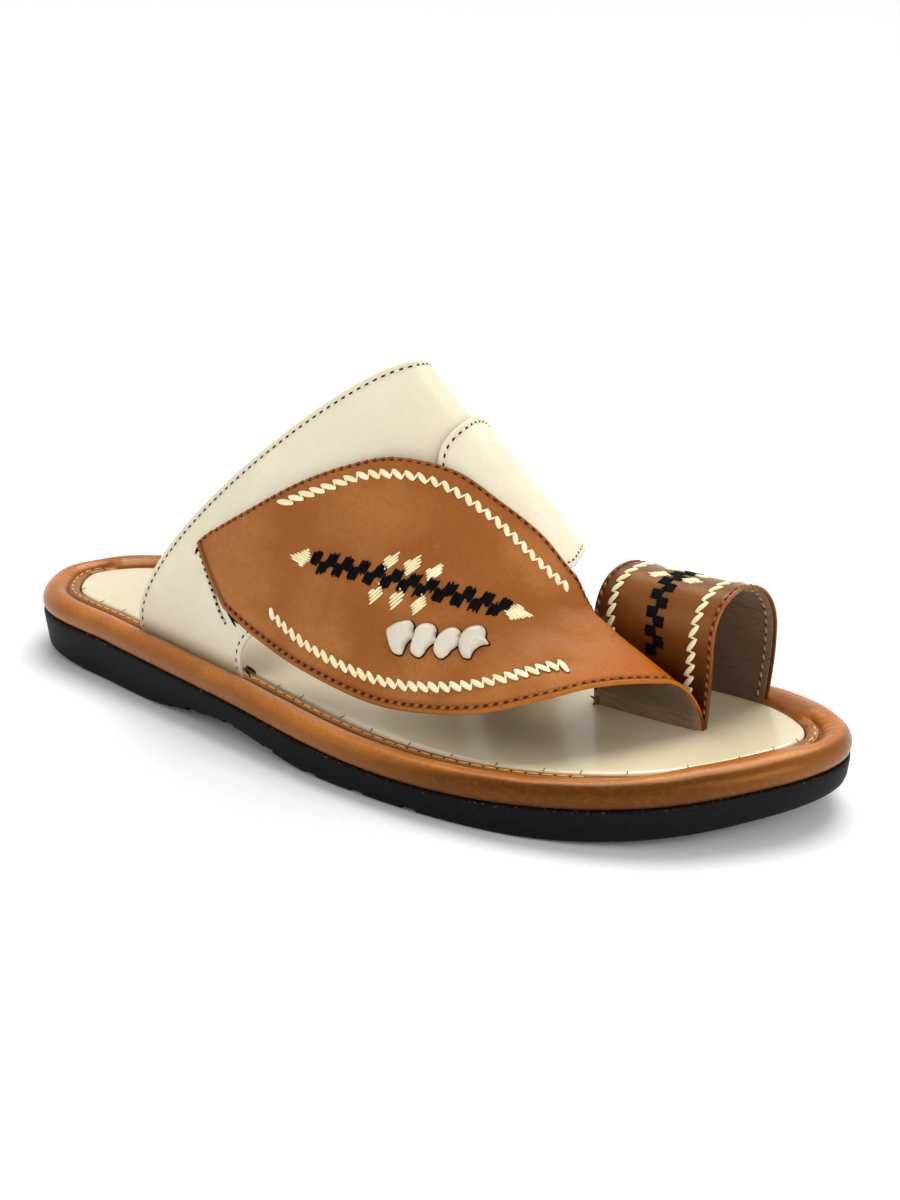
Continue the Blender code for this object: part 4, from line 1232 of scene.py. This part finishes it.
# outlines along the chain's line and to its left; shares are the rings from the top outwards
puffs = {"height": 3.0, "lean": (-0.07, 0.05), "footShadow": (0.12, -0.12),
         "shares": (0.2, 0.4, 0.58, 0.73, 0.85, 0.93, 0.98, 1.0, 0.99), "outlines": [
    [(37.4, -15.1), (38.7, -13.6), (40.6, -12.0), (42.8, -11.1), (44.4, -10.9), (45.5, -12.1),
     (45.6, -13.9), (46.3, -15.6), (44.6, -16.7), (43.4, -18.3), (42.5, -20.4), (40.9, -21.6),
     (39.1, -21.4), (38.2, -19.8), (37.6, -17.3)],
    [(46.0, -15.2), (46.3, -13.3), (47.6, -11.4), (49.4, -10.5), (51.2, -10.7), (52.1, -12.1),
     (52.0, -14.3), (52.5, -15.8), (51.0, -17.0), (49.6, -18.8), (48.7, -20.6), (47.4, -21.9),
     (45.9, -21.5), (44.9, -20.1), (45.3, -17.6)],
    [(52.2, -15.7), (53.1, -13.6), (54.5, -11.8), (56.1, -10.5), (57.6, -10.3), (58.9, -11.4),
     (58.7, -13.2), (58.9, -14.8), (58.0, -16.6), (56.6, -18.2), (55.5, -20.2), (54.2, -21.6),
     (52.8, -21.5), (51.7, -19.7), (51.7, -17.6)],
    [(58.6, -13.9), (59.3, -11.7), (60.9, -9.5), (63.0, -8.3), (64.7, -8.2), (65.8, -9.6),
     (65.9, -12.1), (66.9, -14.2), (65.3, -14.9), (63.9, -16.2), (62.6, -18.4), (61.6, -20.9),
     (59.8, -20.9), (58.8, -18.9), (58.4, -16.3)]]}


def makePuffs(place, finishes):
    # smooth padded lobes, fuller towards the heel and the instep, with a painted shadow line at their
    # foot
    finish = leatherFinish("puffLeather", puffLook)
    shares = np.array(puffs["shares"])
    for i, stops in enumerate(puffs["outlines"]):
        size = len(stops)
        padded = np.array(stops[-2:] + stops + stops[:3])
        middle = np.array(stops).mean(0)
        key = np.linspace(2, size + 2, 97)[:-1]
        shape = smoothAt(np.arange(len(padded)), padded, key) - middle
        local = shape[None] * shares[:, None, None]
        points, normals = place(*np.moveaxis(middle + local, -1, 0))
        rise = puffs["height"] * np.sqrt(np.clip(1 - shares**3.0, 0, 1))[:, None]
        rise = rise * (1 + local @ np.array(puffs["lean"]))
        rise[-2:] = [[0.05], [-0.3]]
        points = points + normals * rise[..., None]
        top, facing = place(middle[0], middle[1])
        points = np.concatenate([points.reshape(-1, 3), [top + facing * puffs["height"]]])
        count = len(shape)
        faces = ringQuads(len(shares), count)
        faces += [(len(points) - 1, j, (j + 1) % count) for j in range(count)]
        faces.append(list(range((len(shares) - 1) * count, len(shares) * count)))
        piece = addPiece(f"lacePuff{i + 1}", points, faces, [finish],
                         values={"edge": np.full(len(points), 9.0)})
        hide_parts(f"lace_puff_{i + 1}")
        # a dark strand round each puff's foot: painted shadow
        footShadow = middle + np.concatenate([shape, shape[:1]]) * 1.02 + np.array(puffs["footShadow"])
        path, facing = place(footShadow[:, 0], footShadow[:, 1])
        strands(f"lacePuffShadow{i + 1}", path[None], facing[None], 0.6, 0.35, finishes["needleHoleAndShadow"])


ringRope = dict(upperRope, count=23, first=1.0, size=(5.6, 4.2, 5.2), width=1.65, slant=(34, 34),
                warp=0.0)
ringChain = dict(vampChain, pitch=5.6, squares=11, wide=3.3, tall=3.2, top=1.35, low=-1.35,
                 angle=84, thread=0.55, ragged=0.5, width=0.6875)
ringLines = {"backRingRope": [(0.12, 0.185), (0.24, 0.172), (0.34, 0.15), (0.42, 0.138),
                              (0.5, 0.15), (0.66, 0.15), (0.85, 0.18)],
             "frontRingRope": [(0.10, 0.818), (0.2, 0.828), (0.3, 0.842), (0.38, 0.848),
                               (0.5, 0.845), (0.66, 0.845), (0.88, 0.825)],
             "ringChain": [(0.0, 0.548), (0.25, 0.542), (0.34, 0.525), (0.40, 0.505),
                           (0.46, 0.49), (0.54, 0.49), (0.66, 0.515), (1.0, 0.54)]}


def makeRingWork(finishes):
    def outerAt(u, v):
        base = ringAt(u, v)
        step = 1e-3
        low, high = np.clip(u - step, 0, 1), np.clip(u + step, 0, 1)
        normal = unit(np.cross(ringAt(u, v + step) - ringAt(u, v - step),
                               ringAt(high, v) - ringAt(low, v)))
        return base + normal * upper["leather"]

    surfaceAt = outside(outerAt, True)
    for name in ("backRingRope", "frontRingRope"):
        place, length = drawnLine(surfaceAt, ringLines[name])
        rope(name, place, length, ringRope, finishes["creamThread"], finishes["needleHoleAndShadow"])
    place, length = drawnLine(surfaceAt, ringLines["ringChain"])
    middle = length / 2
    first = middle - ringChain["pitch"] * (ringChain["squares"] - 1) / 2
    makeChain("ringChain", place, dict(ringChain, first=first), finishes["blackThread"])
    shapes = []
    for x in (middle - 3.1, middle + 3.3):
        for side, y in ((0.4, -5.8), (-0.4, 5.8)):
            shapes.append([(x - 2.0, y - side), (x + 0.6, y - 3.7), (x + 2.1, y + side),
                           (x - 0.6, y + 3.7)])
    makeDiamonds("ringDiamonds", place, shapes, dict(satinLook, angle=80, grow=1.0),
                 finishes["satinThread"])


lockstitch = {"pitch": 2.75, "gap": 0.19, "slant": 0.6, "width": 1.0, "height": 0.75,
              "hole": 1.45, "holeWidth": 1.25, "holeHeight": 0.26}
paleStitch = dict(lockstitch, width=0.7, height=0.5, hole=1.55, holeWidth=0.62, slant=0.3)
prickRow = {"pitch": 1.1, "length": 0.56, "width": 0.34, "height": 0.08}
liningStitch = dict(lockstitch, width=0.7, height=0.5, hole=0.8, holeWidth=0.6)
rearStitch = dict(lockstitch, pitch=2.3, height=0.8, hole=0.95, holeWidth=0.85, holeHeight=0.5,
                  slant=0.3)
flangeStitch = {"pitch": 4.1, "gap": 0.1, "slant": 0.1, "width": 0.62, "height": 0.45,
                "hole": 0.5, "holeWidth": 0.6, "holeHeight": 0.16}
# name, piece, on its lining, grid line in from the edge, lines left out at each end, stitch,
# thread and hole
seams = [
    ("vamp", "vampPanel", False, "seam", 6, lockstitch, "brownThread", "brownHole"),
    ("vampLining", "vampPanel", True, "prick", 8, liningStitch, "shadeThread", "brownHole"),
    ("instepBand", "instepBand", False, "seam", 0, paleStitch, "paleThread", "needleHoleAndShadow"),
    ("medialStrap", "medialStrap", False, "seam", 0, paleStitch, "paleThread", "needleHoleAndShadow"),
    ("ring", "toeRing", False, "ringSeam", 0, lockstitch, "brownThread", "brownHole"),
    ("ringLining", "toeRing", True, "prick", 0, liningStitch, "shadeThread", "brownHole"),
]
rearSeamLine = [(0.47, 0.156), (0.60, 0.149), (0.80, 0.136), (1.08, 0.116), (1.34, 0.094),
                (1.51, 0.082)]
rearKnots = [((1.44, 0.101), (1.60, 0.092)), ((1.50, 0.098), (1.68, 0.086)),
             ((1.55, 0.096), (1.70, 0.093)), ((0.43, 0.159), (0.48, 0.150))]
flangeSeams = {"inset": 10.0, "rise": 5.96, "toeFlangeSeam": (0.495, 0.53),
               "flangeSeam": (0.985, 1.385)}  # shares of the way round from the heel


def makeSeams(made, finishes):
    def row(name, side, kind, trim, inside=False):
        # points above the insole on the grid line that a seam runs on
        outer, inner, normal = made[name]
        near = leather[kind]
        line = slice(trim, -trim or None), near if side == "Start" else -near - 1
        points, normals = (inner[line], -normal[line]) if inside else (outer[line], normal[line])
        keep = points[:, 2] > footbedTop(points[:, 0]) + 0.8
        return points[keep], normals[keep]

    for side in ("Start", "End"):
        for name, piece, inside, kind, trim, stitch, thread, hole in seams:
            machineStitch(f"{name}{side}Seam", *row(piece, side, kind, trim, inside), stitch,
                          finishes[thread], finishes[hole])
    pricks("vampPricks", *row("vampPanel", "Start", "prick", 8), prickRow, finishes["brownThread"])
    place, length = drawnLine(outside(onBand, False), rearSeamLine)
    line = place(np.linspace(0, length, 120), 0)
    black = finishes["blackThread"]
    # a dark strip under the rear seam's threads: painted shade along the seam
    strands("rearSeamShade", line[0][None], line[1][None], 1.5, 0.12, finishes["shadeThread"], 0.1)
    machineStitch("rearSeam", *line, rearStitch, finishes["paleThread"], black)
    knots = np.array([[onBand(*np.array(spot)) for spot in knot] for knot in rearKnots])
    paths = straight(knots[:, 0], knots[:, 1], 6)
    strands("rearKnots", paths, np.full(paths.shape, [0.0, -0.9, 0.44]), 0.6, 0.6, black, 0.1)
    # the flange's seam is hidden where the roll covers it
    for name in ("toeFlangeSeam", "flangeSeam"):
        first, final = (int(share * around) for share in flangeSeams[name])
        line = soleRing(flangeSeams["inset"], flangeSeams["rise"])[np.arange(first, final) % around]
        machineStitch(name, line, np.tile([0.0, 0.0, 1.0], (len(line), 1)), flangeStitch,
                      finishes["rimThread"], finishes["needleHoleAndShadow"])


insoleMarks = {"pitch": 13.5, "length": 2.6, "inset": sole["rimWidth"] - 0.8,
               "slotCut": [((61.0, 18.2), (66.2, 15.9)), ((62.6, 17.0), (66.2, 15.4))],
               "legThreads": [((-31.5, -32.5), (-26.2, -34.4)), ((-30.4, -34.0), (-25.8, -37.6))]}


def makeInsoleMarks(finishes):
    # thread ends that stand out onto the insole, and the cut beyond the slot's back end
    line = insetLine(soleLine, insoleMarks["inset"])
    beyond = insetLine(soleLine, insoleMarks["inset"] + insoleMarks["length"])
    length = runAlong(line)
    places = np.arange(6.0, length[-1], insoleMarks["pitch"])
    places = places + 7 * (draws.random(len(places)) - 0.5)
    paths = []
    for where in places:
        i = int(np.searchsorted(length, where)) % around
        j = (i + draws.integers(-1, 2)) % around
        # shorter towards the toe
        reach = (0.55 + 0.45 * draws.random()) * np.interp(line[i][0], (-90, 60), (1.15, 0.5))
        flat = straight(line[i], line[i] + (beyond[j] - line[i]) * reach, 5)
        lift = 0.1 + 0.7 * np.linspace(0, 1, 5) ** 2
        paths.append(np.column_stack([flat, footbedTop(flat[:, 0]) + lift]))
    up = np.array([0.0, 0.0, 1.0])
    strands("edgeThreads", paths, np.full((len(paths), 5, 3), up), 0.32, 0.25, finishes["blackThread"])
    for name, width, height in (("slotCut", 1.3, 0.12), ("legThreads", 0.9, 0.9)):
        starts, ends = zip(*insoleMarks[name])
        flat = straight(starts, ends, 5)
        paths = np.dstack([flat, footbedTop(flat[..., 0]) + 0.05])
        strands(name, paths, np.full(paths.shape, up), width, height, finishes["needleHoleAndShadow"])


makeCamera()
makeStudio()
makeFloor()
print("sandal: camera, studio and floor")
makeOutsole()
makeRim()
makeInsole()
print("sandal: sole")
made = makeUpper()
finishes = {name: plainFinish(name, look) for name, look in holeLooks.items()}
finishes.update({name: threadFinish(name, look) for name, look in threadLooks.items()})
place = makeVampWork(finishes)
makePuffs(place, finishes)
makeRingWork(finishes)
print("sandal: embroidery and lacing")
makeSeams(made, finishes)
makeInsoleMarks(finishes)
print("sandal: seams and thread ends")
